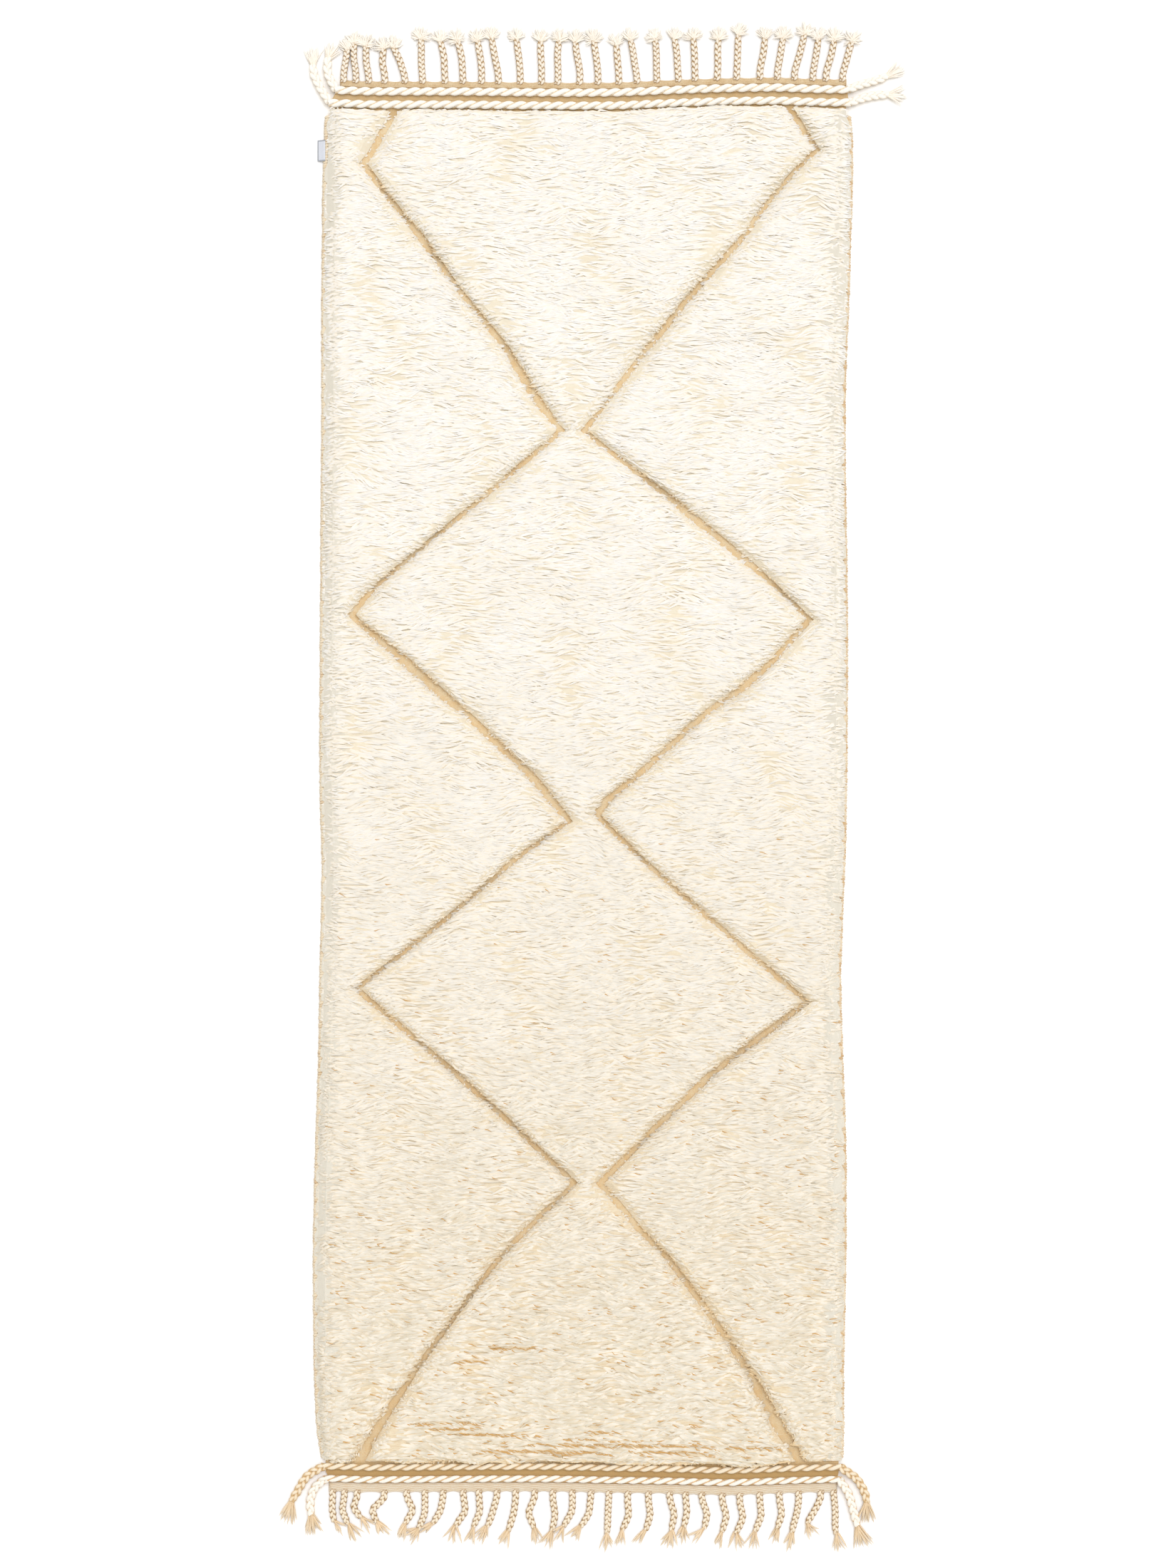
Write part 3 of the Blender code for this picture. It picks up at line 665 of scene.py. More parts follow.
# %% Smooth unevenness
WAVES = 6
PACES = (0.6, 1.5)  # of the waves, against the pace that was asked for
EVENED = 1.4  # brings the highest crests down to about 1


def ripple(x, y, span, seed):
    """Waves about span apart, mostly between -1 and 1."""
    draw = np.random.default_rng(seed)
    total = 0.0
    for _ in range(WAVES):
        angle, phase = draw.uniform(0, 2 * math.pi, 2)
        pace = 2 * math.pi * draw.uniform(*PACES) / span
        total = total + np.sin((x * math.cos(angle) + y * math.sin(angle)) * pace + phase)
    return total / math.sqrt(WAVES / 2) / EVENED


print("ripple:", [round(float(ripple(x, 0.0, 0.1, SEED)), 2) for x in (0.0, 0.05, 0.1)])

# %% Where the knots are
ROW_PITCH = 6.9 * MM
KNOT_PITCH = 3.5 * MM
ROW_SWAY = 2.2 * MM  # how far a row wanders to the near and the far side
SWAY_SPAN = 90 * MM
SCATTER = 0.5 * MM  # of each knot round its row


def knots(y_low, y_high, draw):
    """Places of the knots between these two lines, as x and y."""
    rows = np.arange(math.ceil(y_low / ROW_PITCH), math.ceil(y_high / ROW_PITCH)) * ROW_PITCH
    columns = np.arange(grid_x[0], grid_x[-1], KNOT_PITCH)
    x, y = (place.ravel() for place in np.meshgrid(columns, rows))
    x = x + draw.uniform(-0.5, 0.5, x.size) * KNOT_PITCH
    y = y + ROW_SWAY * ripple(x, y, SWAY_SPAN, SEED + 1) + draw.normal(0, SCATTER, y.size)
    standing = (read(foot_map, x, y) < CLOTH_FOOT) & (read(top_map, x, y) > PILE_LEAST)
    return x[standing], y[standing]


sample = knots(-0.1, 0.1, np.random.default_rng(SEED))
print("knots in the middle 20 cm:", sample[0].size)

# %% [markdown]
# The wool falls to the right more often than to the left, in broad drifts, and leans a little
# towards the near end. Near an edge of the pile it falls outwards. Which way is outwards follows
# from the map of the pile: it is down the slope of its softened edge.

# %% Which way the wool is combed
TO_RIGHT = 0.55  # share of the wool that falls to the right
DRIFT = 0.4  # and how much that share varies
DRIFT_STEEPNESS = 2  # how quickly one drift turns into the next
LEAN = 7  # degrees towards the near end
BROAD_LEAN, SMALL_LEAN, OWN_LEAN = 8, 9, 7  # degrees that patches and single locks add to it
DRIFT_SPAN, BROAD_SPAN, SMALL_SPAN = 220 * MM, 120 * MM, 45 * MM
DRAWN_OUT = 0.3  # how much an edge turns it outwards

slope_y, slope_x = np.gradient(pile_share, STEP)


def outwards(x, y):
    """Unit direction out of the pile at each place, as x and y. It counts only near an edge."""
    way = np.stack([-read(slope_x, x, y), -read(slope_y, x, y)])
    return way / np.maximum(np.linalg.norm(way, axis=0), 1e-6)


def comb(x, y, draw):
    """Direction of the wool at each knot, as x and y of a unit vector."""
    near = near_edge(x, y)
    way_out = outwards(x, y)
    chance = TO_RIGHT + DRIFT * np.tanh(DRIFT_STEEPNESS * ripple(x, y, DRIFT_SPAN, SEED + 2))
    chance = chance + near * ((way_out[0] > 0) - chance)
    to_right = draw.random(x.size) < chance
    lean = LEAN + BROAD_LEAN * ripple(x, y, BROAD_SPAN, SEED + 3)
    lean = lean + SMALL_LEAN * ripple(x, y, SMALL_SPAN, SEED + 4)
    lean = np.radians(lean + draw.normal(0, OWN_LEAN, x.size))
    direction = np.stack([np.where(to_right, np.cos(lean), -np.cos(lean)), -np.sin(lean)])
    direction = direction + DRAWN_OUT * near * way_out
    return direction / np.linalg.norm(direction, axis=0)


rightwards = comb(*sample, np.random.default_rng(SEED))[0] > 0
print("share of them combed to the right:", round(float(rightwards.mean()), 2))

# %% How far a lock runs over pile
CHECKS = 10  # places along a lock where the map of the pile is looked up


def lie(x, y, direction, length):
    """How far each lock runs over pile, up to its length, and whether it meets an edge."""
    shares = np.linspace(0.1, 1.0, CHECKS)
    reach = shares[:, None] * length
    carried = read(carries_pile, x + direction[0] * reach, y + direction[1] * reach) > 0.5
    runs = np.argmin(carried, axis=0) / len(shares)
    meets_edge = ~carried.all(axis=0)
    return np.where(meets_edge, runs, 1.0) * length, meets_edge


to_the_right = np.array([[1.0], [0.0]])
meets_edge = lie(*sample, to_the_right, np.full(sample[0].size, 40 * MM))[1]
print("of them, so many have an edge less than 40 mm to the right:", int(meets_edge.sum()))

# %% [markdown]
# Near the near end, long gaps run between the rows, the largest of them in places that the
# photograph shows. A small table holds those, each a line from one point to another. A lock stays
# on the side of a gap that it starts on, as if a finger had been drawn through the wool.

# %% The longest gaps
# From x to x, and y at each, in millimetres
PARTINGS = [
    (-150, -60, -846, -848), (-200, -150, -868, -866), (-274, -152, -962, -959),
    (-246, -166, -971, -969), (-214, -84, -977, -980), (-8, 46, -973, -976),
    (-40, 90, -985, -989), (-100, 198, -993, -996), (-172, 46, -1003, -1005),
    (60, 190, -1004, -1006), (210, 300, -996, -1000),
]
PARTING_HALF = 4.4 * MM  # the locks' middles keep this far from it
PARTING_TAPER = 5  # a gap is full wide from a fifth of its length to four fifths
PARTING_WAVER = 0.9 * MM  # how much it wavers
WAVER_SPAN = 30 * MM
PARTING_PULL = 30 * MM  # a lock that starts this near it is kept on its side all along


def parting_line(low_y, high_y, share, x):
    """y of the middle of a long gap, at this share of its length and at this x."""
    straight = (low_y + (high_y - low_y) * share) * MM
    return straight + PARTING_WAVER * ripple(x, low_y * MM, WAVER_SPAN, SEED + 10)


def part(y, px, py):
    """py, with each lock kept on the side of every long gap that it starts on."""
    for low_x, high_x, low_y, high_y in PARTINGS:
        share = (px / MM - low_x) / (high_x - low_x)
        middle = parting_line(low_y, high_y, share, px)
        inside = np.clip(PARTING_TAPER * share, 0, 1) * np.clip(PARTING_TAPER * (1 - share), 0, 1)
        half = PARTING_HALF * inside
        above = np.maximum(py, middle + half)
        below = np.minimum(py, middle - half)
        close = (abs(py - middle) < half) | (abs(y[:, None] - middle) < PARTING_PULL)
        parted = np.where(y[:, None] > middle, above, below)
        py = np.where(close & (inside > 0), parted, py)
    return py


print("long gaps:", sum(high - low for low, high, _, _ in PARTINGS), "mm in all")

# %% [markdown]
# A lock starts at its knot, sinks a little into its neighbours and ends in a point. Where it
# meets an edge it reaches past it, farther in some tufts than in others, and hangs down. Combing
# has also pushed whole rows together and apart, most of all near the near end, where the locks
# are thicker too.

# %% The shape of a lock
LOCK = Yarn(3, 3, True)
STATIONS = np.array([0.0, 0.45, 1.0])  # along a lock
FULLNESS = np.array([0.7, 1.0, 0.0])  # and its width there
SINK = np.array([3.0, 0.9, 0.5]) * MM  # how deep it lies there under the pile's surface
LOCK_LENGTH = (26 * MM, 46 * MM)
LOCK_WIDTH = (1.8 * MM, 3.0 * MM)  # half of it
LOCK_FLATNESS = 0.2
LOCK_BEND = 1.2 * MM  # to the side, half way along
LOCK_LIFT = 0.4 * MM  # how much one lies above or below its neighbours
LOCK_ROLL = 0.12  # radians, to either side

print("a lock:", LOCK.ring.size, "points and", len(LOCK.faces), "faces")

# %% How far it reaches past an edge
SPILL = 3.4 * MM  # past a bare line
LEFT_SPILL, RIGHT_SPILL = 4.5 * MM, 5.5 * MM  # or past the rug's long sides
SPILL_VARIES = (-0.4, 1.4)  # times that much
SIDES_FROM = 370 * MM  # distance from the rug's middle line
RAGGED = 2.6 * MM  # how unevenly whole tufts of it end along a bare line
SIDE_RAGGED = 0.3  # and this share of that along the sides
SMALL_TUFTS, BROAD_TUFTS = 15 * MM, 38 * MM  # from one tuft to the next


def reach_past(x, edge, at_side, draw):
    """How far each lock reaches past the edge that it meets there."""
    spill = np.where(at_side, np.where(x > 0, RIGHT_SPILL, LEFT_SPILL), SPILL)
    spill = spill * draw.uniform(*SPILL_VARIES, x.size)
    ragged = ripple(*edge, SMALL_TUFTS, SEED + 8) + ripple(*edge, BROAD_TUFTS, SEED + 9)
    return spill + np.where(at_side, SIDE_RAGGED, 1.0) * RAGGED * ragged


print("wool reaches", round(SPILL / MM, 1), "mm past a bare line, give or take a tuft")

# %% How combing has drawn the rows together and apart
COARSE_FROM = -0.58  # y: from here to the near end the locks get thicker and part more
COARSE_OVER = 0.4  # metres, until they are at their thickest
PARTING = 1.2 * MM  # how far single locks are drawn together and apart
COARSE_PARTING = 0.7  # and how much more that is near the near end
FURROW = 2.8 * MM  # how far whole rows are pushed there, which opens long gaps
FURROW_MIDDLE = 0.5  # of the waves that push them
PARTING_SPAN, FURROW_SPAN = 13 * MM, 17 * MM  # across the rows, from one wave to the next
PARTING_ALONG, FURROW_ALONG = 0.28, 0.15  # waves along the rows, for one across them


def coarseness(y):
    """0 in most of the rug, growing to 1 at its near end."""
    return np.clip((COARSE_FROM - y) / COARSE_OVER, 0, 1) ** 2


def combed_aside(y, px, py):
    """py after combing, for locks that start at y."""
    coarse = coarseness(y)[:, None]
    furrows = ripple(px * FURROW_ALONG, py, FURROW_SPAN, SEED + 7) - FURROW_MIDDLE
    py = py + FURROW * coarse * furrows
    swing = PARTING * (1 + COARSE_PARTING * coarse)
    py = py + swing * ripple(px * PARTING_ALONG, py, PARTING_SPAN, SEED + 5) * STATIONS
    return part(y, px, py)


print("coarseness at y = -1:", round(float(coarseness(-1.0)), 2))

# %% How much painted shade wool gets where it hangs
HANG_FROM = 3.0 * MM  # wool that lies deeper than this under the pile's top is shaded
HANG_SPAN = 4.5 * MM  # and fully so this much deeper
SUN_LEVEL = math.cos(SUN_HEIGHT)  # how much of the way to the sun is level
SIDE_ON = 0.3  # how shaded it is where it hangs across the light
TURNED_AWAY = 1.2  # and how much more where it hangs away from the light
DARKENED = 1.7  # how far the crest attribute goes down there


def hang_shade(depth, x, y, at_side):
    """How much lower the crest attribute is on wool that hangs into a bare line, which gives it
    painted shade.
    """
    hang = np.clip((depth - HANG_FROM) / HANG_SPAN, 0, 1)
    way_out = outwards(x, y)
    to_light = way_out[0] * towards_sun.x + way_out[1] * towards_sun.y
    away = ~at_side * np.clip(SIDE_ON - TURNED_AWAY * to_light / SUN_LEVEL, 0, 1)
    return DARKENED * hang[:, LOCK.ring] * away[:, None]


print("level share of the light:", round(SUN_LEVEL, 2))

# %% Lay the locks
SPILL_SLOPE = 1.1  # how steeply wool falls past an edge
SILL = 5.6 * MM  # the lowest that it hangs
SIDE_SILL = 7.4 * MM  # and over the bound sides, which are higher
SHORTEST = 3 * MM  # that an edge can leave of a lock
RIDGE = 0.8 * MM  # height of the long soft ridges that combing leaves
RIDGE_SPAN, RIDGE_ALONG = 26 * MM, 0.25
THICKER = 0.35  # how much thicker the locks are at the near end


def lay(x, y, direction, length, draw, slim=1.0, raised=0.0):
    """Vertices and crests of locks that start at these knots. Raised ones stay where they lie."""
    run, meets_edge = lie(x, y, direction, length)
    at_side = abs(x) > SIDES_FROM
    edge = x + direction[0] * run, y + direction[1] * run
    spill = reach_past(x, edge, at_side, draw)
    travel = np.where(meets_edge, np.maximum(run + spill, SHORTEST), length)
    way = STATIONS * travel[:, None]
    past = np.maximum(way - run[:, None], 0)
    on_pile = way - past
    bend = draw.normal(0, LOCK_BEND, x.size)[:, None] * np.sin(math.pi * STATIONS)
    px = x[:, None] + direction[0][:, None] * way - direction[1][:, None] * bend
    py = y[:, None] + direction[1][:, None] * way + direction[0][:, None] * bend
    if not raised:
        py = combed_aside(y, px, py)
    edge_x = x[:, None] + direction[0][:, None] * on_pile
    edge_y = y[:, None] + direction[1][:, None] * on_pile
    top = read(top_map, edge_x, edge_y)
    lift = draw.normal(0, LOCK_LIFT, x.size)[:, None] * (STATIONS > 0)
    pz = top - SINK + raised + lift - SPILL_SLOPE * past
    pz = pz - EDGE_DROP * near_edge(edge_x, edge_y)
    sill = np.where(at_side, SIDE_SILL, SILL)[:, None]
    pz = np.maximum(pz + RIDGE * ripple(px * RIDGE_ALONG, py, RIDGE_SPAN, SEED + 6), sill)
    width = slim * draw.uniform(*LOCK_WIDTH, x.size)[:, None] * FULLNESS
    width = width * (1 + THICKER * coarseness(y)[:, None])
    side = np.stack([direction[1], -direction[0], np.zeros(x.size)], axis=1)
    side = np.repeat(side[:, None], len(STATIONS), axis=1)
    roll = draw.normal(0, LOCK_ROLL, x.size)
    path = np.stack([px, py, pz], axis=2)
    vertices = LOCK.bend(path, width, width * LOCK_FLATNESS, side, roll)
    return vertices, LOCK.crest - hang_shade(top - pz, x, y, at_side)


print("locks are", [round(length / MM) for length in LOCK_LENGTH], "mm long")

# %% [markdown]
# Between the locks the wool can be seen down to its root, whose own colour is warmer and which
# lies in shade. Thin, dark locks stand for that, with painted shade over the root's colour. They
# are scattered ever more thickly towards the near end, and they line the long gaps. They lie a
# little higher than the others, or the pale locks would hide them.

# %% Streaks of root
ROOT_LENGTH = (9 * MM, 18 * MM)
ROOT_WIDTH = 0.32  # of an ordinary lock's width
ROOT_RAISED = 1.1 * MM  # above one
ROOT_CREST = 4.0  # how much lower its crest attribute is, which the wool's finish makes dark
ROOTS_PER_METRE = 4200  # square metre of pile, at the near end
ROOTS_FROM = 0.1  # y: from here to the near end more and more roots show
NEAR_END = -1.0  # y
ROOT_SHARE, ROOT_PATCHES = 0.5, 1.1  # how many show, and how much more in some patches
ROOT_PATCH_SPAN = 45 * MM
ROOT_SPACING = 5.0  # millimetres, along a long gap
ROOTS_ALONG = (0.03, 0.97)  # the shares of its length where they start and stop
ROOT_SCATTER = 0.9 * MM
ROOT_LEAN, ROOT_LEAN_VARIES = -10, 9  # degrees
WELL_INSIDE = 0.9  # share of pile round a root, so that none shows at an edge


def root_streaks(y_low, y_high, draw):
    """Vertices and crests of the thin dark locks between these two lines."""
    width, height = grid_x[-1] - grid_x[0], y_high - y_low
    count = round(ROOTS_PER_METRE * width * height)
    x, y = draw.uniform(grid_x[0], grid_x[-1], count), draw.uniform(y_low, y_high, count)
    nearness = np.clip((ROOTS_FROM - y) / (ROOTS_FROM - NEAR_END), 0, 1) ** 2
    patches = ROOT_SHARE + ROOT_PATCHES * ripple(x, y, ROOT_PATCH_SPAN, SEED + 11)
    kept = draw.random(count) < nearness * patches
    x, y = x[kept], y[kept]
    for low_x, high_x, low_y, high_y in PARTINGS:
        share = np.arange(*ROOTS_ALONG, ROOT_SPACING / (high_x - low_x))
        line_x = (low_x + (high_x - low_x) * share) * MM
        line_y = parting_line(low_y, high_y, share, line_x)
        here = (line_y >= y_low) & (line_y < y_high)
        x, y = np.concatenate([x, line_x[here]]), np.concatenate([y, line_y[here]])
    standing = (read(foot_map, x, y) < CLOTH_FOOT) & (read(pile_share, x, y) > WELL_INSIDE)
    x, y = x[standing], y[standing]
    y = y + draw.normal(0, ROOT_SCATTER, y.size)
    lean = np.radians(draw.normal(ROOT_LEAN, ROOT_LEAN_VARIES, x.size))
    direction = np.stack([np.cos(lean), np.sin(lean)])
    length = draw.uniform(*ROOT_LENGTH, x.size)
    vertices, crest = lay(x, y, direction, length, draw, ROOT_WIDTH, ROOT_RAISED)
    return vertices, crest - ROOT_CREST


streaks_sample = root_streaks(-1.0, -0.9, np.random.default_rng(SEED))
print("streaks of root in 10 cm near the near end:", len(streaks_sample[0]))

# %% [markdown]
# Along every edge of the pile a closer row of short locks fills the rim, so that no gap between
# the long ones opens onto the weave.

# %% Short locks along the edges
RIM_PITCH = 3.2 * MM
RIM_LENGTH = (10 * MM, 22 * MM)
RIM_WIDTH = 0.8  # of an ordinary lock's width
RIM_SHARES = (0.50, 0.93)  # between these shares of pile round a place, it is at the rim
ON_PILE = 0.9  # and with this share at its very foot, it still carries pile


def rim_knots(y_low, y_high, draw):
    """Places close inside an edge of the pile."""
    columns = np.arange(grid_x[0], grid_x[-1], RIM_PITCH)
    rows = np.arange(y_low, y_high, RIM_PITCH)
    x, y = (place.ravel() for place in np.meshgrid(columns, rows))
    x = x + draw.uniform(-0.5, 0.5, x.size) * RIM_PITCH
    y = y + draw.uniform(-0.5, 0.5, y.size) * RIM_PITCH
    share = read(pile_share, x, y)
    at_rim = (share > RIM_SHARES[0]) & (share < RIM_SHARES[1])
    close = at_rim & (read(carries_pile, x, y) > ON_PILE)
    return x[close], y[close]


print("rim locks in the middle 20 cm:", rim_knots(-0.1, 0.1, np.random.default_rng(SEED))[0].size)

# %% All the locks of a stretch


def locks(y_low, y_high, seed):
    """Vertices, tints and crests of the locks whose knots lie between these two lines."""
    draw = np.random.default_rng(seed)
    x, y = knots(y_low, y_high, draw)
    direction = comb(x, y, draw)
    long_ones = lay(x, y, direction, draw.uniform(*LOCK_LENGTH, x.size), draw)
    x, y = rim_knots(y_low, y_high, draw)
    direction = comb(x, y, draw)
    short_ones = lay(x, y, direction, draw.uniform(*RIM_LENGTH, x.size), draw, RIM_WIDTH)
    streaks = root_streaks(y_low, y_high, draw)
    vertices, crest = (np.concatenate(three) for three in zip(long_ones, short_ones, streaks))
    return vertices, draw.random(len(vertices)), crest


print("a stretch has long locks, rim locks and streaks of root")

# %% [markdown]
# ## Finish of the wool
#
# The wool is nearly white at its tips and grows warm and brown towards its root, as light that has
# gone through wool does. Light could be sent through the locks in the renderer, but that is slow
# and isn't baked, so colours say it here as painted light. Each lock has its own shade, and broad
# patches and bands are a little yellower and darker. The rug gets warmer and darker towards its
# near end, where some whole locks are deeper too. These are partly the wool's own tone and partly
# painted shade: for light that falls off towards the near end, for the pile's soft waves, and
# between the strands. Fine streaks along each lock stand for its fibres, with painted shade
# between them. The crest attribute picks the rest, which is painted shade too: the flanks of a
# lock, wool that hangs away from the light, and the root streaks over the root's own colour.

# %% Colours of the wool
TIP = (0.835, 0.825, 0.81)
# Tips at the near end: the wool's warmer tone there, darkened by painted shade
TIP_WARM_SHADED = (0.645, 0.59, 0.475)
MIDDLE = (0.82, 0.76, 0.66)
# Painted light and shade: the root colour stands for light that has gone through wool and for
# shade low on a lock's sides, over the wool's warmer tone at its root
ROOT = (0.78, 0.62, 0.39)  # where a lock starts, and low on its sides near the near end
# Painted shade on a lock's sides at the far end
FLANK_SHADE = (0.88, 0.78, 0.60)  # low on its sides at the far end
# Painted shade between strands, over the wool's own uneven tone
DEEPER_SHADE = (0.58, 0.45, 0.27)  # of some whole locks, more of them towards the near end
# Painted shade on wool that hangs into a bare line away from the light
HANGING_SHADE = (0.83, 0.62, 0.36)  # where it hangs into a bare line on the side away from the light
# Painted shade over the root's own colour, for the thin streaks down to it
DEEP_ROOT_SHADE = (0.60, 0.35, 0.12)  # of the thin streaks that show wool down to its root

print("wool goes from", TIP, "at its tips to", ROOT, "at its roots")

# %% Material of the wool
PATCH_SHAPE, PATCHES = (0.55, 1.3, 1.0), 16.0  # longer along X, and about so many to the metre
BAND_SHAPE, BANDS = (0.3, 1.0, 1.0), 42.0
WOOL_NEARING = (0.75, -1.25)  # y: between these it turns warmer
FIBRES = (3.0, 2.0, 90.0)  # streaks across a lock, along it, and how unlike the next lock's
FUZZ = {"sheen_weight": 0.15, "sheen_roughness": 0.6}  # the soft edge that all wool has
WOOL_ROUGHNESS = 0.85
FIBRE_SCALE = 1.6
FIBRE_DEPTH = 0.3 * MM  # of the relief


def wool_material(name, tip, tip_warm_shaded, middle, flank_shade, root):
    """Combed wool from these colours. The deeper ones, which are painted shade, are the same for
    every wool.
    """
    finish = Finish(name, roughness=WOOL_ROUGHNESS, **FUZZ)
    along, tint = finish.attribute("along"), finish.attribute("tint")
    patches = finish.noise(stretched(finish, *PATCH_SHAPE), PATCHES, 3.0)
    bands = finish.noise(stretched(finish, *BAND_SHAPE), BANDS, 2.0)
    nearness = finish.axis(1).above(*WOOL_NEARING)
    # Warmer and darker towards the near end and in patches and bands, painted shade over the
    # wool's own tone, and from lock to lock at random
    warmth_and_shade = nearness * 0.9 + patches * 0.5 + bands * 0.35 + tint * 0.2 - 0.49
    tips = finish.mix(warmth_and_shade.above(0.0, 1.0, "LINEAR"), tip, tip_warm_shaded)
    lower = finish.mix(along.above(0.3, 0.8), middle, tips)
    whole = finish.mix(along.above(-0.25, 0.2), root, lower)
    # Painted shade for a lock's flanks, warmer towards the near end
    shaded = finish.mix(nearness, flank_shade, root)
    # Painted shade between its fibres: there a lock takes its root's colour, more of it towards
    # the near end
    across = finish.attribute("across") * FIBRES[0]
    fibre = {0: across, 1: along * FIBRES[1], 2: tint * FIBRES[2]}
    strands = finish.noise(finish.node("CombineXYZ", {}, fibre), FIBRE_SCALE, 2.0)
    between = strands.above(0.48, 0.72) * (nearness * 0.3 + 0.12)
    whole = finish.mix(between, whole, root)
    # Some whole locks darker, more towards the near end: painted shade between strands over the
    # wool's uneven tone
    whole = finish.mix(tint.above(0.45, 1.0) * (nearness * 0.6 - 0.2), whole, DEEPER_SHADE)
    # The crest attribute steps down from the top of a lock to its flanks and the darkest wool,
    # each step down with deeper painted shade
    crest = finish.attribute("crest")
    upper = finish.mix(crest.above(-0.5, 0.1), shaded, whole)
    # Painted shade where wool hangs into a bare line away from the light
    upper = finish.mix(crest.above(-1.5, -0.9), HANGING_SHADE, upper)
    # Painted shade for the root streaks
    finish.colour(finish.mix(crest.above(-3.1, -2.9), DEEP_ROOT_SHADE, upper))
    finish.bump(strands, FIBRE_DEPTH)
    return finish.finished()


combed_wool = wool_material("combed_wool", TIP, TIP_WARM_SHADED, MIDDLE, FLANK_SHADE, ROOT)

# %% [markdown]
# The pile is made in six stretches across the rug, because one mesh for all of it would be
# unhandy. Each has a seed of its own, and all read the same map of heights, so no seam shows.

# %% Six stretches of pile
STRETCHES = 6
pile = []
stretch = (grid_y[-1] - grid_y[0]) / STRETCHES
for number in range(STRETCHES):
    start = grid_y[0] + number * stretch
    wool = locks(start, start + stretch, SEED + 20 + number)
    pile.append(join(f"pile_{number + 1}", [(LOCK, *wool)], combed_wool))

# %% [markdown]
# ## Winding yarn
#
# The sides, the cords and the fringe are wound yarn. In a plait of three, each strand swings from
# side to side and dips under the others twice on its way there and back. In a twist of two, the
# strands go round each other. Both are sines of the distance along a path. A flat ribbon with a
# picture of a plait would look right from above only.

# %% Follow a path


def follow(points, count):
    """count stations along these points, evenly spaced and with the corners rounded."""
    points = np.asarray(points, float)
    so_far = distance_along(points)
    places = np.linspace(0, so_far[-1], count)
    path = np.stack([np.interp(places, so_far, points[:, axis]) for axis in range(3)], axis=1)
    # Each pass rounds the corners a little more
    for _ in range(count // 4):
        path[1:-1] = (path[:-2] + 2 * path[1:-1] + path[2:]) / 4
    return path


def distance_along(path):
    """How far each station is from the first, along the path."""
    steps = np.linalg.norm(np.diff(path, axis=0), axis=1)
    return np.concatenate([[0.0], np.cumsum(steps)])


def flat_side(path):
    """At each station, the level direction to the right of the path."""
    forward = np.gradient(path, axis=0)
    side = np.stack([forward[:, 1], -forward[:, 0], np.zeros(len(path))], axis=1)
    return side / np.linalg.norm(side, axis=1, keepdims=True)


print("a bent path of 3 points becomes", len(follow([(0, 0, 0), (1, 0, 0), (1, 1, 0)], 9)))

# %% Wind strands round it
LOOSENS_FROM = 0.85  # along a plait: from here it narrows towards its tie


def plait(path, pitch, swing, dip, end_share):
    """The three strands of a plait that follows the path, narrower towards its end."""
    turn = 2 * math.pi * distance_along(path) / pitch
    stations = np.linspace(0, 1, len(path))
    share = np.interp(stations, [0, LOOSENS_FROM, 1], [1, 1, end_share])[:, None]
    strands = []
    for start in (0, 2 * math.pi / 3, 4 * math.pi / 3):
        across = (np.sin(turn + start) * swing)[:, None] * flat_side(path)
        up = (np.sin(2 * (turn + start)) * dip)[:, None] * np.array([0.0, 0.0, 1.0])
        strands.append(path + share * (across + up))
    return strands


def twist(path, pitch, swing, rise, starts):
    """Strands that go round each other along the path, one for each start, in turns."""
    turn = 2 * math.pi * distance_along(path) / pitch
    strands = []
    for start in starts:
        across = -np.sin(turn + 2 * math.pi * start) * swing
        up = np.cos(turn + 2 * math.pi * start) * rise
        strands.append(path + across[:, None] * flat_side(path) + up[:, None] * (0.0, 0.0, 1.0))
    return strands


print("a plait winds 3 strands and a twist 2")

# %% Widths and crests of strands


def same_width(yarn, copies, half_width):
    """The same half width for each ring of each copy."""
    return np.full((copies, yarn.rings), half_width)


def crests(yarn, vertices, middles):
    """How high each vertex is above the middle of what it is wound into, from -1 to 1."""
    above = vertices[:, :, 2] - middles[:, yarn.ring]
    return above / np.abs(above).max()


print("half widths of a lock with one width:", same_width(LOCK, 1, 2.0 * MM)[0])

# %% [markdown]
# ## Overcast sides
#
# Each long side is bound with yarn that goes over the edge, stitch beside stitch, round a straight
# core. The wool falls over most of it, so that only a dotted line of stitches shows from above.
# Grooves in one long tube would be simpler, but from the side the stitches stand out one by one.

# %% Shape of the binding
SELVEDGE = (-1014 * MM, 1022 * MM)  # from y to y
CORE = Yarn(6, 110, False)
CORE_OUT, CORE_LEVEL = 3.5 * MM, 2.5 * MM  # its middle, past the cloth and above the floor
CORE_HALF = (3.1 * MM, 2.2 * MM)  # half its width and height
STITCH = Yarn(4, 5, False)
STITCH_PITCH = 4.0 * MM
STITCH_HALF = (1.7, 2.2)  # half its width, in millimetres
STITCH_FULLNESS = np.array([0.8, 1, 1, 1, 0.8])
STITCH_FLATNESS = 0.6
STITCH_SCATTER, STITCH_SLANT = 0.3 * MM, 0.5 * MM  # how uneven its place and its slant are
OUT_VARIES, UP_VARIES = (0.9, 1.08), (0.94, 1.1)  # and how far out and up it goes
# How a stitch goes over the edge: distance outwards from the cloth, height, slant
STITCH_WAY = np.array([
    (-1.0, 4.6, 1.4), (1.8, 5.5, 0.8), (4.8, 5.0, 0.1), (7.0, 2.9, -0.7), (6.3, 0.7, -1.2),
]) * MM

print("stitches on each side:", round((SELVEDGE[1] - SELVEDGE[0]) / STITCH_PITCH))

# %% Helper for both selvedges


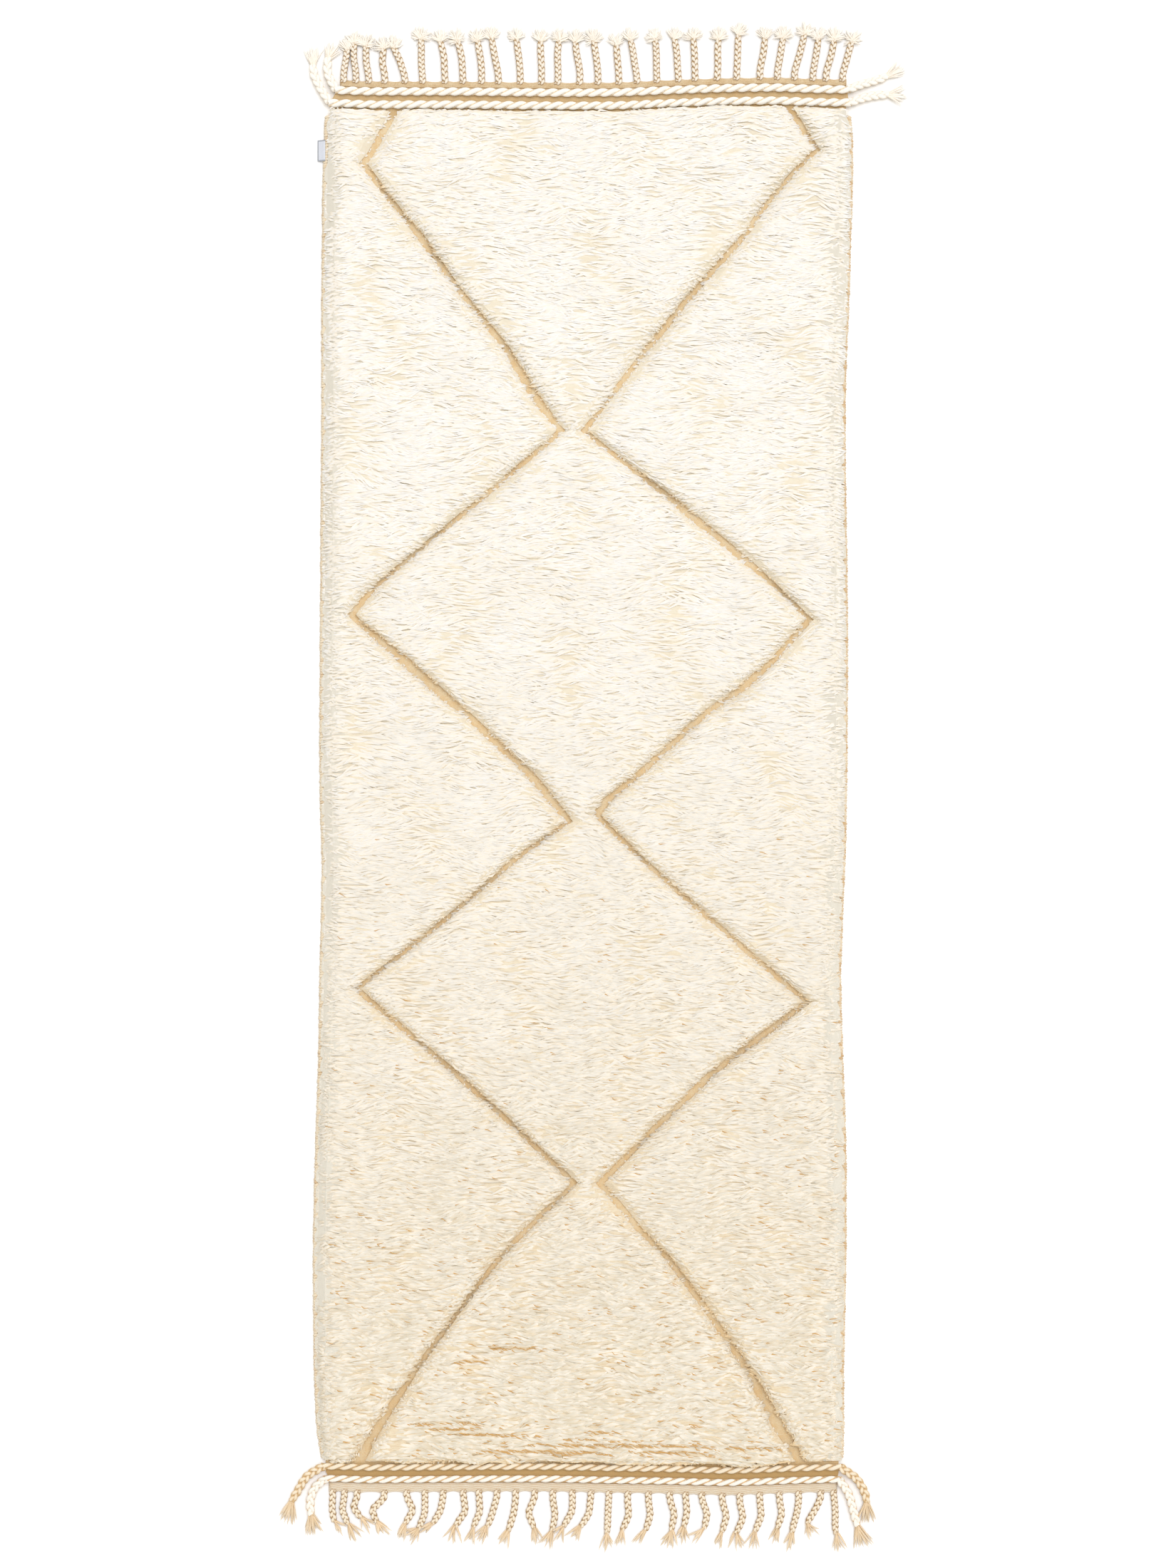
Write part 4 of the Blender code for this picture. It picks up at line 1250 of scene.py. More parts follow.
def selvedge(name, side, material):
    """The core and the stitches along one side: 1 is the right side and -1 the left."""
    draw = np.random.default_rng(SEED + 40 + side)
    ys = np.linspace(*SELVEDGE, CORE.rings)
    xs = np.array([cloth_side(y, side) for y in ys])
    core = np.stack([xs + side * CORE_OUT, ys, np.full(len(ys), CORE_LEVEL)], axis=1)[None]
    count = round((SELVEDGE[1] - SELVEDGE[0]) / STITCH_PITCH)
    at = (np.linspace(*SELVEDGE, count) + draw.normal(0, STITCH_SCATTER, count))[:, None]
    out, up, slant = STITCH_WAY.T
    x = np.interp(at, ys, xs) + side * out * draw.uniform(*OUT_VARIES, count)[:, None]
    askew = draw.normal(0, STITCH_SLANT, count)[:, None] * np.linspace(1, -1, STITCH.rings)
    y = at + slant + askew
    z = up * draw.uniform(*UP_VARIES, count)[:, None]
    paths = np.stack([x, y, np.broadcast_to(z, x.shape)], axis=2)
    along = np.gradient(paths, axis=1)
    along /= np.linalg.norm(along, axis=2, keepdims=True)
    lengthwise = np.cross(np.cross(along, (0.0, 1.0, 0.0)), along)
    lengthwise /= np.linalg.norm(lengthwise, axis=2, keepdims=True)
    half = draw.uniform(*STITCH_HALF, count)[:, None] * MM * STITCH_FULLNESS
    stitches = STITCH.bend(paths, half, half * STITCH_FLATNESS, lengthwise)
    bar = CORE.bend(core, *(same_width(CORE, 1, size) for size in CORE_HALF))
    batches = [
        (CORE, bar, np.zeros(1), CORE.crest),
        (STITCH, stitches, draw.random(count), STITCH.crest),
    ]
    return join(name, batches, material)


print("a stitch goes", round(STITCH_WAY[:, 0].max() / MM, 1), "mm past the cloth")

# %% Finish of the binding, and both selvedges
OVERCAST_TAN = (0.56, 0.36, 0.17)
OVERCAST_PALE = (0.76, 0.65, 0.48)
FUZZ_SCALE = 1100.0  # of the fine relief on all yarn


def overcast_material(name):
    """Yarn that was dyed unevenly, stitch by stitch and in patches, and gets painted shade low on
    each stitch and on the core.
    """
    finish = Finish(name, roughness=WOOL_ROUGHNESS, **FUZZ)
    patches = finish.noise(finish.place(), PATCH_SCALE)
    # Painted shade: the crest attribute makes the undersides darker and the tops paler
    share = finish.attribute("tint") * 0.6 + finish.attribute("crest") * 0.3 + patches * 1.2 - 0.2
    finish.colour(finish.mix(share.above(0.0, 1.0), OVERCAST_TAN, OVERCAST_PALE))
    finish.bump(finish.noise(finish.place(), FUZZ_SCALE, 1.0), FIBRE_DEPTH)
    return finish.finished()


overcast_wool = overcast_material("overcast_wool")
selvedge_left = selvedge("selvedge_left", -1, overcast_wool)
selvedge_right = selvedge("selvedge_right", 1, overcast_wool)

# %% [markdown]
# ## Loose wool
#
# Plaits and tails end in loose wool. At the far end it is a round fluffy tuft, at the near end
# a few thin wisps. A tuft could be one rough ball, but its edge would give it away. So each wisp
# is a tube of its own, which starts at the tie and fans out from there.

# %% Tufts and brushes
WISP = Yarn(3, 5, True)
WISP_FULLNESS = np.array([0.7, 1.0, 0.95, 0.7, 0.0])
WISP_FLATNESS = 0.45
WISP_CURL = 2.0 * MM  # how far its end is bent to one side
WISP_SCATTER = 1.0 * MM
WISP_START = (2.0, 6.5)  # its height at the tie, in millimetres
WISP_TIP = (0.9, 4.5)  # and at its tip
WISP_ARCH = 1.5 * MM
WISP_ROLL = 0.3  # radians
WISP_STRAY = 0.125  # of the spread, how far a wisp strays from its place in the fan
ROUNDED, ROUND_OVER = 0.15, 1.4  # how much shorter the outer ones are, which rounds the tuft


def brush(tie, direction, wisps, spread, length, half_width, draw):
    """Wisps that fan out from one tie, by up to spread to each side of the direction."""
    lean = np.linspace(-1, 1, wisps) * spread + draw.normal(0, spread * WISP_STRAY, wisps)
    angle = math.atan2(direction[1], direction[0]) + lean
    way = np.stack([np.cos(angle), np.sin(angle)], axis=1)
    side = np.stack([way[:, 1], -way[:, 0]], axis=1)
    reach = draw.uniform(*length, wisps) * (1 - ROUNDED + ROUNDED * np.cos(lean * ROUND_OVER))
    share = np.linspace(0, 1, WISP.rings)
    curl = draw.normal(0, WISP_CURL, wisps)[:, None, None] * (share**2)[:, None]
    flat = tie[:2] + way[:, None] * (reach[:, None] * share)[:, :, None] + side[:, None] * curl
    flat = flat + draw.normal(0, WISP_SCATTER, wisps)[:, None, None] * side[:, None]
    start = draw.uniform(*WISP_START, wisps)[:, None] * MM
    high = start * (1 - share) + draw.uniform(*WISP_TIP, wisps)[:, None] * MM * share
    high = high + WISP_ARCH * np.sin(math.pi * share)
    paths = np.concatenate([flat, high[:, :, None]], axis=2)
    half = draw.uniform(*half_width, wisps)[:, None] * WISP_FULLNESS
    roll = draw.normal(0, WISP_ROLL, wisps)
    return WISP.bend(paths, half, half * WISP_FLATNESS, roll=roll)


# How many wisps, how wide they fan out, how far the tuft leans, and the sizes of a wisp
FLUFFY = {
    "wisps": 56, "spread": 1.35, "sway": 4 * MM,
    "length": (11 * MM, 24 * MM), "half_width": (0.8 * MM, 1.7 * MM),
}
WISPY = {
    "wisps": 9, "spread": 0.42, "sway": 6 * MM,
    "length": (18 * MM, 34 * MM), "half_width": (1.1 * MM, 2.1 * MM),
}

print("a far tuft has", FLUFFY["wisps"], "wisps and a near one", WISPY["wisps"])

# %% [markdown]
# ## Chain-stitched cords
#
# Two cords cross each end of the rug and leave it as loose tails. The real ones are rows of chain
# stitch, whose links show from above as slanted almonds. Two thick strands that are twisted
# together show the same and are far simpler, with a thin tan strand in each groove between them,
# which stands for the tan between the links and the painted shade there.
# The cords are fuller at the far end. The tails are plaits that come down to the floor and end in
# a brush.

# %% Where the cords and their tails are
# Side of the rug, distance from the end of the cloth, then the left and the right tail, all but
# the side in millimetres
CORDS = {
    "cord_upper_outer": (
        1, 5.8,
        [(-376, 1063.5), (-384, 1077), (-390, 1092), (-388, 1112), (-380, 1138)],
        [(402.5, 1063.5), (418, 1070), (442, 1077), (465, 1085), (488, 1102)],
    ),
    "cord_upper_inner": (
        1, 25.6,
        [(-386, 1045), (-398, 1063), (-410, 1086), (-412, 1111), (-411, 1133)],
        [(404.5, 1043.5), (421, 1050), (443, 1055), (469, 1057), (495, 1057)],
    ),
    "cord_lower_inner": (
        -1, 24.5,
        [(-394, -1028), (-421, -1043), (-435, -1068), (-449, -1090), (-453, -1118)],
        [(390.5, -1030), (416, -1047), (429, -1070), (432, -1094), (429, -1120)],
    ),
    "cord_lower_outer": (
        -1, 5.9,
        [(-391, -1047), (-409, -1060), (-416, -1082), (-413, -1109), (-410, -1136)],
        [(388.5, -1048), (404, -1070), (411, -1099), (419, -1127), (428, -1157)],
    ),
}

print("cords:", ", ".join(CORDS))

# %% Helper for the stitched length of a cord
PLY = Yarn(6, 260, False)
GROOVE_YARN = Yarn(3, 260, False)
TWIST_PITCH = 38 * MM
CORD_HEIGHT = 8.3 * MM  # of the cord's middle above the floor
FAR_FULLNESS = 1.2  # how much thicker the cords at the far end are
PLY_SWING, PLY_RISE = 2.7 * MM, 1.7 * MM  # how far a ply goes to the side and up
PLY_HALF, PLY_SWELL = 2.9 * MM, 0.5 * MM  # half its width, and how much wider it is on top
PLY_FLATNESS = 0.95
GROOVE_SWING, GROOVE_RISE, GROOVE_HALF = 3.6 * MM, 2.2 * MM, 1.1 * MM
PLY_STARTS, GROOVE_STARTS = (0.0, 0.5), (0.25, 0.75)  # where each strand begins, in turns
CORD_PAST = 1 * MM  # how far it reaches past the roots of its tails
CORD_SMOOTHING = 6  # points to each side, for the line that the cord follows


def soften_line(values):
    """Each value becomes the mean of its neighbours."""
    padded = np.pad(values, CORD_SMOOTHING, mode="edge")
    count = 2 * CORD_SMOOTHING + 1
    return np.convolve(padded, np.ones(count) / count, mode="valid")


def stitched_length(side, inset, left, right):
    """Batches for the two plies and the two thin strands, between the roots of the tails."""
    first, last = left[0][0] * MM - CORD_PAST, right[0][0] * MM + CORD_PAST
    xs = np.linspace(first, last, PLY.rings)
    ys = soften_line(np.array([cloth_end(x, side) for x in xs])) - side * inset * MM
    path = np.stack([xs, ys, np.full(len(xs), CORD_HEIGHT)], axis=1)
    fat = FAR_FULLNESS if side > 0 else 1.0
    plies = np.stack(twist(path, TWIST_PITCH, fat * PLY_SWING, PLY_RISE, PLY_STARTS))
    swing = fat * GROOVE_SWING
    grooves = np.stack(twist(path, TWIST_PITCH, swing, GROOVE_RISE, GROOVE_STARTS))
    ply_half = fat * (PLY_HALF + PLY_SWELL * (plies[:, :, 2] - CORD_HEIGHT) / PLY_RISE)
    groove_half = same_width(GROOVE_YARN, 2, GROOVE_HALF)
    level = np.full((2, PLY.rings), CORD_HEIGHT)
    thick = PLY.bend(plies, ply_half, ply_half * PLY_FLATNESS)
    thin = GROOVE_YARN.bend(grooves, groove_half, groove_half)
    return [
        (PLY, thick, np.ones(2), crests(PLY, thick, level)),
        # The thin strands take the crevice colour all over: painted shade in the grooves
        (GROOVE_YARN, thin, np.zeros(2), -1.0),
    ]


print("a turn of the twist every", round(TWIST_PITCH / 2 / MM), "mm")

# %% Helper for a cord's plaited tail
TAIL_STRAND = Yarn(6, 36, False)
TAIL_LENGTH = 0.66  # of a tail is plaited, the rest is its brush
TAIL_STATIONS = 60
TAIL_LEVEL = 5.2  # its height above the floor, in millimetres
TAIL_SHOULDER = 6.5 * MM  # and its height where it has just left the cord
TAIL_PITCH, TAIL_SWING, TAIL_DIP, TAIL_END = 34 * MM, 4.0 * MM, 2.0 * MM, 0.6
TAIL_HALF = 3.0 * MM
TAIL_TINT = 0.6
# Painted shade: the tail's strands lie deeper in each other and take more of the crevice shade
TAIL_SHADE = 0.3  # its strands lie deeper in each other, and show more of the darker colour
BRUSH_WISPS, BRUSH_SPREAD = 26, 0.45
BRUSH_REACH = (0.75, 1.15)  # times the rest of the tail
BRUSH_HALF = (1.0 * MM, 1.8 * MM)
BRUSH_OVERLAP = 0.1  # of the rest of the tail, where the brush starts before the plait's end


def plaited_tail(tail, draw):
    """A batch for the plait, and the wisps at its end."""
    points = np.array([(x, y, TAIL_LEVEL) for x, y in tail]) * MM
    points[0, 2] = CORD_HEIGHT
    points[1, 2] = TAIL_SHOULDER
    whole = follow(points, TAIL_STATIONS)
    plaited = follow(whole[: round(TAIL_STATIONS * TAIL_LENGTH)], TAIL_STRAND.rings)
    strands = np.stack(plait(plaited, TAIL_PITCH, TAIL_SWING, TAIL_DIP, TAIL_END))
    half = same_width(TAIL_STRAND, 3, TAIL_HALF)
    tube = TAIL_STRAND.bend(strands, half, half)
    crest = crests(TAIL_STRAND, tube, np.tile(plaited[:, 2], (3, 1))) - TAIL_SHADE
    onwards = whole[-1] - plaited[-1]
    rest = np.linalg.norm(onwards[:2])
    length = (BRUSH_REACH[0] * rest, BRUSH_REACH[1] * rest)
    tie = plaited[-1] - onwards * BRUSH_OVERLAP
    wisps = brush(tie, onwards, BRUSH_WISPS, BRUSH_SPREAD, length, BRUSH_HALF, draw)
    return (TAIL_STRAND, tube, np.full(3, TAIL_TINT), crest), wisps


print("a tail is plaited for", round(TAIL_LENGTH * 100), "% of its length")

# %% [markdown]
# Wound yarn gets painted shade where it dips under another strand and is paler on its crests. The
# crest attribute says which, so one helper serves the cords and the plaits, with colours of their
# own.

# %% Helper for the finish of wound yarn
FLECK_SCALE = 260.0


def yarn_material(name, crevice_shade, crest, bottom, top):
    """Wound yarn whose colour goes from painted shade in its crevices to its crest colour between
    these two heights.
    """
    finish = Finish(name, roughness=WOOL_ROUGHNESS, **FUZZ)
    fleck = finish.noise(finish.place(), FLECK_SCALE, 1.0)
    share = finish.attribute("crest").above(bottom, top) + fleck * 0.7 - 0.4
    finish.colour(finish.mix(share.above(0.0, 1.0), crevice_shade, crest))
    finish.bump(finish.noise(finish.place(), FUZZ_SCALE, 1.0), FIBRE_DEPTH)
    return finish.finished()


# Painted shade in the crevices, colour on the crests, and the heights between which it turns
CORD_YARNS = {
    "pale_cord": ((0.84, 0.69, 0.48), (0.90, 0.86, 0.79), -0.7, 0.2),
    "white_cord": ((0.74, 0.50, 0.25), (0.88, 0.84, 0.76), -0.5, 0.35),
    "tan_cord": ((0.62, 0.42, 0.20), (0.83, 0.72, 0.55), -0.1, 0.75),
}
pale_cord, white_cord, tan_cord = (yarn_material(name, *how) for name, how in CORD_YARNS.items())

# %% The four cords
CORD_FINISH = {
    "cord_upper_outer": pale_cord,
    "cord_upper_inner": pale_cord,
    "cord_lower_inner": tan_cord,
    "cord_lower_outer": white_cord,
}


def chain_cord(name, side, inset, left, right):
    """The stitched length with both plaited tails, and the wisps at their ends."""
    draw = np.random.default_rng(SEED + 50 + len(left) + round(inset * 10) + side)
    batches = stitched_length(side, inset, left, right)
    wisps = []
    for tail in (left, right):
        batch, ends = plaited_tail(tail, draw)
        batches.append(batch)
        wisps.append(ends)
    return join(name, batches, CORD_FINISH[name]), wisps


cords = []
tail_wisps = []
for name, places in CORDS.items():
    cord, wisps = chain_cord(name, *places)
    cords.append(cord)
    tail_wisps += wisps

# %% [markdown]
# ## Plaited fringe
#
# The fringe is a row of 28 plaits at each end. No two hang alike, so an Array modifier wouldn't
# do. Their places were read off the photograph: x at the heading, at the bend and at the tie,
# then the tip of the loose wool.

# %% Where the plaits are, in millimetres
UPPER_STRANDS = [
    (-364, -362, -359, -365, 1147), (-346, -349, -348, -348, 1162), (-326, -331, -331, -329, 1156),
    (-302, -306, -303, -310, 1150), (-271, -279, -290, -291, 1152), (-244, -247, -247, -248, 1171),
    (-210, -212, -218, -223, 1165), (-183, -185, -192, -193, 1168), (-155, -156, -161, -167, 1167),
    (-129, -135, -140, -141, 1173), (-96, -98, -102, -105, 1171), (-64, -64, -65, -66, 1167),
    (-39, -39, -37, -38, 1169), (-6, -8, -12, -14, 1166), (22, 20, 16, 14, 1168),
    (54, 52, 50, 47, 1158), (82, 76, 71, 70, 1169), (112, 111, 109, 105, 1170),
    (145, 142, 138, 136, 1169), (170, 169, 167, 165, 1170), (203, 205, 206, 205, 1169),
    (233, 235, 236, 237, 1178), (269, 273, 276, 278, 1169), (295, 300, 304, 306, 1171),
    (321, 330, 337, 337, 1179), (349, 354, 358, 361, 1169), (369, 377, 382, 384, 1169),
    (394, 402, 409, 412, 1165),
]
LOWER_STRANDS = [
    (-381, -382, -379, -369, -1132), (-363, -367, -358, -348, -1138),
    (-344, -350, -339, -327, -1123), (-303, -321, -314, -300, -1132),
    (-269, -258, -271, -281, -1136), (-241, -241, -251, -261, -1149),
    (-213, -217, -229, -244, -1136), (-183, -179, -195, -206, -1143),
    (-159, -157, -167, -179, -1143), (-131, -138, -146, -161, -1143),
    (-103, -106, -114, -119, -1152), (-74, -84, -75, -74, -1145), (-46, -43, -48, -57, -1152),
    (-17, -17, -30, -38, -1142), (12, 9, -4, -16, -1142), (39, 37, 36, 34, -1158),
    (68, 69, 59, 57, -1149), (99, 102, 95, 84, -1149), (131, 139, 134, 129, -1149),
    (155, 158, 153, 150, -1142), (180, 189, 184, 171, -1145), (211, 218, 211, 203, -1152),
    (238, 243, 232, 230, -1155), (268, 271, 261, 258, -1152), (298, 302, 295, 286, -1145),
    (327, 324, 317, 309, -1155), (361, 352, 340, 338, -1135), (380, 384, 384, 383, -1158),
]

print("plaits:", len(UPPER_STRANDS), "and", len(LOWER_STRANDS))

# %% Helper for a row of plaits
BAND_WIDTH = {1: 11.0 * MM, -1: 15.5 * MM}  # of the heading band at each end
BAND_GAP = 0.5 * MM  # between the cloth and the band
PLAIT_STRAND = Yarn(6, 34, False)
PLAIT_PITCH = 24 * MM
PITCH_VARIES = (0.9, 1.12)
PLAIT_SWING, PLAIT_DIP, PLAIT_END = 3.2 * MM, 1.6 * MM, 0.55
PLAIT_HALF = 2.35 * MM  # half a strand's width
PLAIT_LEVEL = 3.9 * MM
PLAIT_SWAY = 0.5 * MM  # how far it wavers to the side
FAN_VARIES = (0.7, 1.3)  # how differently the tufts spread
ROOTED = 4 * MM  # how far a plait starts inside the band
STRAIGHT_TO = 0.1  # along a strand's length: it is straight to here
BEND_AT = 0.4  # then comes its bend,
HALF_WAY_AT = 0.55  # half the way sideways to the tie
TIE_AT = 0.70  # and the tie, where the loose wool starts
TIED_OVER = 2 * MM  # how far the loose wool starts before the plait's end


def band_edge(x, side):
    """y of the heading band's outer edge."""
    return cloth_end(x, side) + side * (BAND_GAP + BAND_WIDTH[side])


def strand_path(row, side):
    """The middle line of one plait, and the way from its tie to its tip."""
    root, bend, tie, tip_x, tip_y = (number * MM for number in row)
    foot = band_edge(root, side)
    length = tip_y - foot
    points = [
        (root, foot - side * ROOTED),
        (root, foot + STRAIGHT_TO * length),
        (bend, foot + BEND_AT * length),
        ((bend + tie) / 2, foot + HALF_WAY_AT * length),
        (tie, foot + TIE_AT * length),
    ]
    path = follow([(x, y, PLAIT_LEVEL) for x, y in points], PLAIT_STRAND.rings)
    return path, np.array([tip_x - tie, tip_y - (foot + TIE_AT * length)])


def fringe(end, rows, side, loose, material, loose_material, extra):
    """A row of plaits, and the loose wool at their ends and at the cords' tails."""
    draw = np.random.default_rng(SEED + 60 + side)
    strands, wisps = [], list(extra)
    for row in rows:
        path, onwards = strand_path(row, side)
        path[:, 0] += draw.normal(0, PLAIT_SWAY) * np.sin(np.linspace(0, 2 * math.pi, len(path)))
        pitch = PLAIT_PITCH * draw.uniform(*PITCH_VARIES)
        strands += plait(path, pitch, PLAIT_SWING, PLAIT_DIP, PLAIT_END)
        onwards[0] += draw.normal(0, loose["sway"])
        fan = loose["spread"] * draw.uniform(*FAN_VARIES)
        tie = path[-1] - (0, side * TIED_OVER, 0)
        sizes = loose["length"], loose["half_width"]
        wisps.append(brush(tie, onwards, loose["wisps"], fan, *sizes, draw))
    half = same_width(PLAIT_STRAND, len(strands), PLAIT_HALF)
    tube = PLAIT_STRAND.bend(np.stack(strands), half, half)
    crest = crests(PLAIT_STRAND, tube, np.full(half.shape, PLAIT_LEVEL))
    batch = (PLAIT_STRAND, tube, draw.random(len(strands)), crest)
    plaits = join(f"plaits_{end}", [batch], material)
    wisps = np.concatenate(wisps)
    batch = (WISP, wisps, draw.random(len(wisps)), WISP.crest)
    return plaits, join(f"tufts_{end}", [batch], loose_material)


print("a turn of a plait every", round(PLAIT_PITCH / MM), "mm")

# %% [markdown]
# The plaits have deeper painted shade in their crevices than the cords, and are tan at the near
# end. The tufts are combed wool again, nearly white at the far end and warm at the near one.

# %% Finishes of the fringe
TUFT_WHITE = (0.90, 0.87, 0.82)
TUFT_CREAM = (0.88, 0.82, 0.73)
# Painted shade on a wisp's sides
TUFT_FLANK_SHADE = (0.84, 0.72, 0.55)
TUFT_ROOT = (0.86, 0.74, 0.57)
WISP_CREAM = (0.85, 0.76, 0.62)
WISP_WARM = (0.80, 0.68, 0.51)
WISP_TAN = (0.77, 0.60, 0.40)
WISP_BROWN = (0.58, 0.38, 0.18)

# Painted shade in the crevices, colour on the crests, and the heights between which it turns, as
# for the cords
PLAIT_YARNS = {
    "pale_plait": ((0.43, 0.27, 0.11), (0.86, 0.79, 0.68), 0.15, 0.95),
    "tan_plait": ((0.40, 0.24, 0.09), (0.84, 0.74, 0.58), 0.1, 0.95),
}
pale_plait, tan_plait = (yarn_material(name, *how) for name, how in PLAIT_YARNS.items())
far_colours = (TUFT_WHITE, TUFT_CREAM, TUFT_CREAM, TUFT_FLANK_SHADE, TUFT_ROOT)
pale_tuft = wool_material("pale_tuft", *far_colours)
near_colours = (WISP_CREAM, WISP_WARM, WISP_TAN, WISP_TAN, WISP_BROWN)
tan_tuft = wool_material("tan_tuft", *near_colours)

# %% Both fringes
far_wisps, near_wisps = tail_wisps[:4], tail_wisps[4:]
fringe_upper = fringe("upper", UPPER_STRANDS, 1, FLUFFY, pale_plait, pale_tuft, far_wisps)
fringe_lower = fringe("lower", LOWER_STRANDS, -1, WISPY, tan_plait, tan_tuft, near_wisps)

# %% [markdown]
# ## Heading bands
#
# A narrow band of weave runs between the outer cord and the plaits, and follows the slightly
# bowed end of the cloth. A straight strip would leave a gap there. So a fine grid is laid along
# the cloth's end, with ribs across it and a swelling at the root of each plait, and its underside
# is extruded down to the floor.

# %% Helper for both headings
BAND_COLUMNS = 160
BAND_ROWS = 10
BAND_PAST = 6 * MM  # how far it reaches past the first and the last plait
BAND_REACH, ROOT_REACH = 0.86, 0.16  # its width, and how much more at a plait's root
ROOT_SPAN = 8 * MM  # how wide a root swells the band
BAND_SLOPE = 5  # it is at its full height a fifth of its width from either edge
# Heights in millimetres: of its edge, then what a rib, the inside and a root add
BAND_HEIGHT, RIB_HEIGHT, INSIDE_HEIGHT, ROOT_HEIGHT = 1.9, 0.9, 0.8, 1.1


def heading(end, side, ribs, material):
    """The band along one end: 1 is the far end and -1 the near one."""
    bm = bmesh.new()
    bmesh.ops.create_grid(bm, x_segments=BAND_COLUMNS, y_segments=BAND_ROWS, size=1.0)
    rows = UPPER_STRANDS if side > 0 else LOWER_STRANDS
    roots = np.array([row[0] for row in rows]) * MM
    low, high = roots.min() - BAND_PAST, roots.max() + BAND_PAST
    rib_layer = bm.verts.layers.float.new("crest")
    for vertex in bm.verts:
        x = low + (high - low) * (vertex.co.x + 1) / 2
        across = (vertex.co.y * side + 1) / 2
        inner = cloth_end(x, side) + side * BAND_GAP
        rib = abs(math.sin(math.pi * ribs * across))
        inside = min(1.0, BAND_SLOPE * across, BAND_SLOPE * (1 - across))
        vertex[rib_layer] = rib
        root = math.exp(-((np.abs(roots - x).min() / ROOT_SPAN) ** 2))
        reach = BAND_WIDTH[side] * (BAND_REACH + ROOT_REACH * root)
        height = BAND_HEIGHT + RIB_HEIGHT * rib + INSIDE_HEIGHT * inside + ROOT_HEIGHT * root
        vertex.co = (x, inner + side * reach * across, height * MM)
    solid = bmesh.ops.extrude_face_region(bm, geom=bm.faces[:])["geom"]
    for vertex in (item for item in solid if isinstance(item, bmesh.types.BMVert)):
        vertex.co.z = 0.0
    bmesh.ops.recalc_face_normals(bm, faces=bm.faces)
    mesh = bpy.data.meshes.new(f"heading_{end}")
    bm.to_mesh(mesh)
    bm.free()
    mesh.shade_smooth()
    mesh.materials.append(material)
    made = bpy.data.objects.new(mesh.name, mesh)
    bpy.context.scene.collection.objects.link(made)
    print(mesh.name + ":", len(mesh.polygons), "faces")
    return made


print("roots swell the band by", ROOT_HEIGHT, "mm")

# %% Both headings
BAND_TAN = (0.70, 0.50, 0.27)
BAND_TAN_LIGHT = (0.80, 0.64, 0.42)
BAND_CREAM = (0.86, 0.71, 0.52)
BAND_CREAM_LIGHT = (0.90, 0.82, 0.68)
SHADE_BETWEEN_RIBS = (0.72, 0.54, 0.33)

tan_band, band_colour, band_relief = weave_material("tan_band", BAND_TAN, BAND_TAN_LIGHT)
tan_band.colour(band_colour)
tan_band.bump(band_relief, THREAD_DEPTH)
cream_band, band_colour, band_relief = weave_material("cream_band", BAND_CREAM, BAND_CREAM_LIGHT)
# Painted shade between the ribs
on_rib = cream_band.attribute("crest").above(0.0, 0.6)
cream_band.colour(cream_band.mix(on_rib, SHADE_BETWEEN_RIBS, band_colour))
cream_band.bump(band_relief, THREAD_DEPTH)
heading_upper = heading("upper", 1, 3, tan_band.finished())
heading_lower = heading("lower", -1, 5, cream_band.finished())

# %% [markdown]
# ## Label
#
# The label is a small woven tag, bent over the left side near the far end. It is bare. A cube
# could be bent for it, but a grid is easier to hold to a curve: each point's height and distance
# from the edge are read off between a few measured ones, and solidify makes it as thick as tape.

# %% Label
LABEL_MIDDLE = 971 * MM  # y
LABEL_LENGTH = 32 * MM
LABEL_THICKNESS = 0.9 * MM
LABEL_OUTSIDE = 7.3 * MM  # from the cloth's side to the selvedge's outer side
# From above the selvedge to the free end: distance inside the selvedge's outer side, height
LABEL_WAY = np.array([(3.0, 6.9), (1.0, 6.7), (-1.0, 5.6), (-5.0, 3.4), (-9.0, 2.0)]) * MM

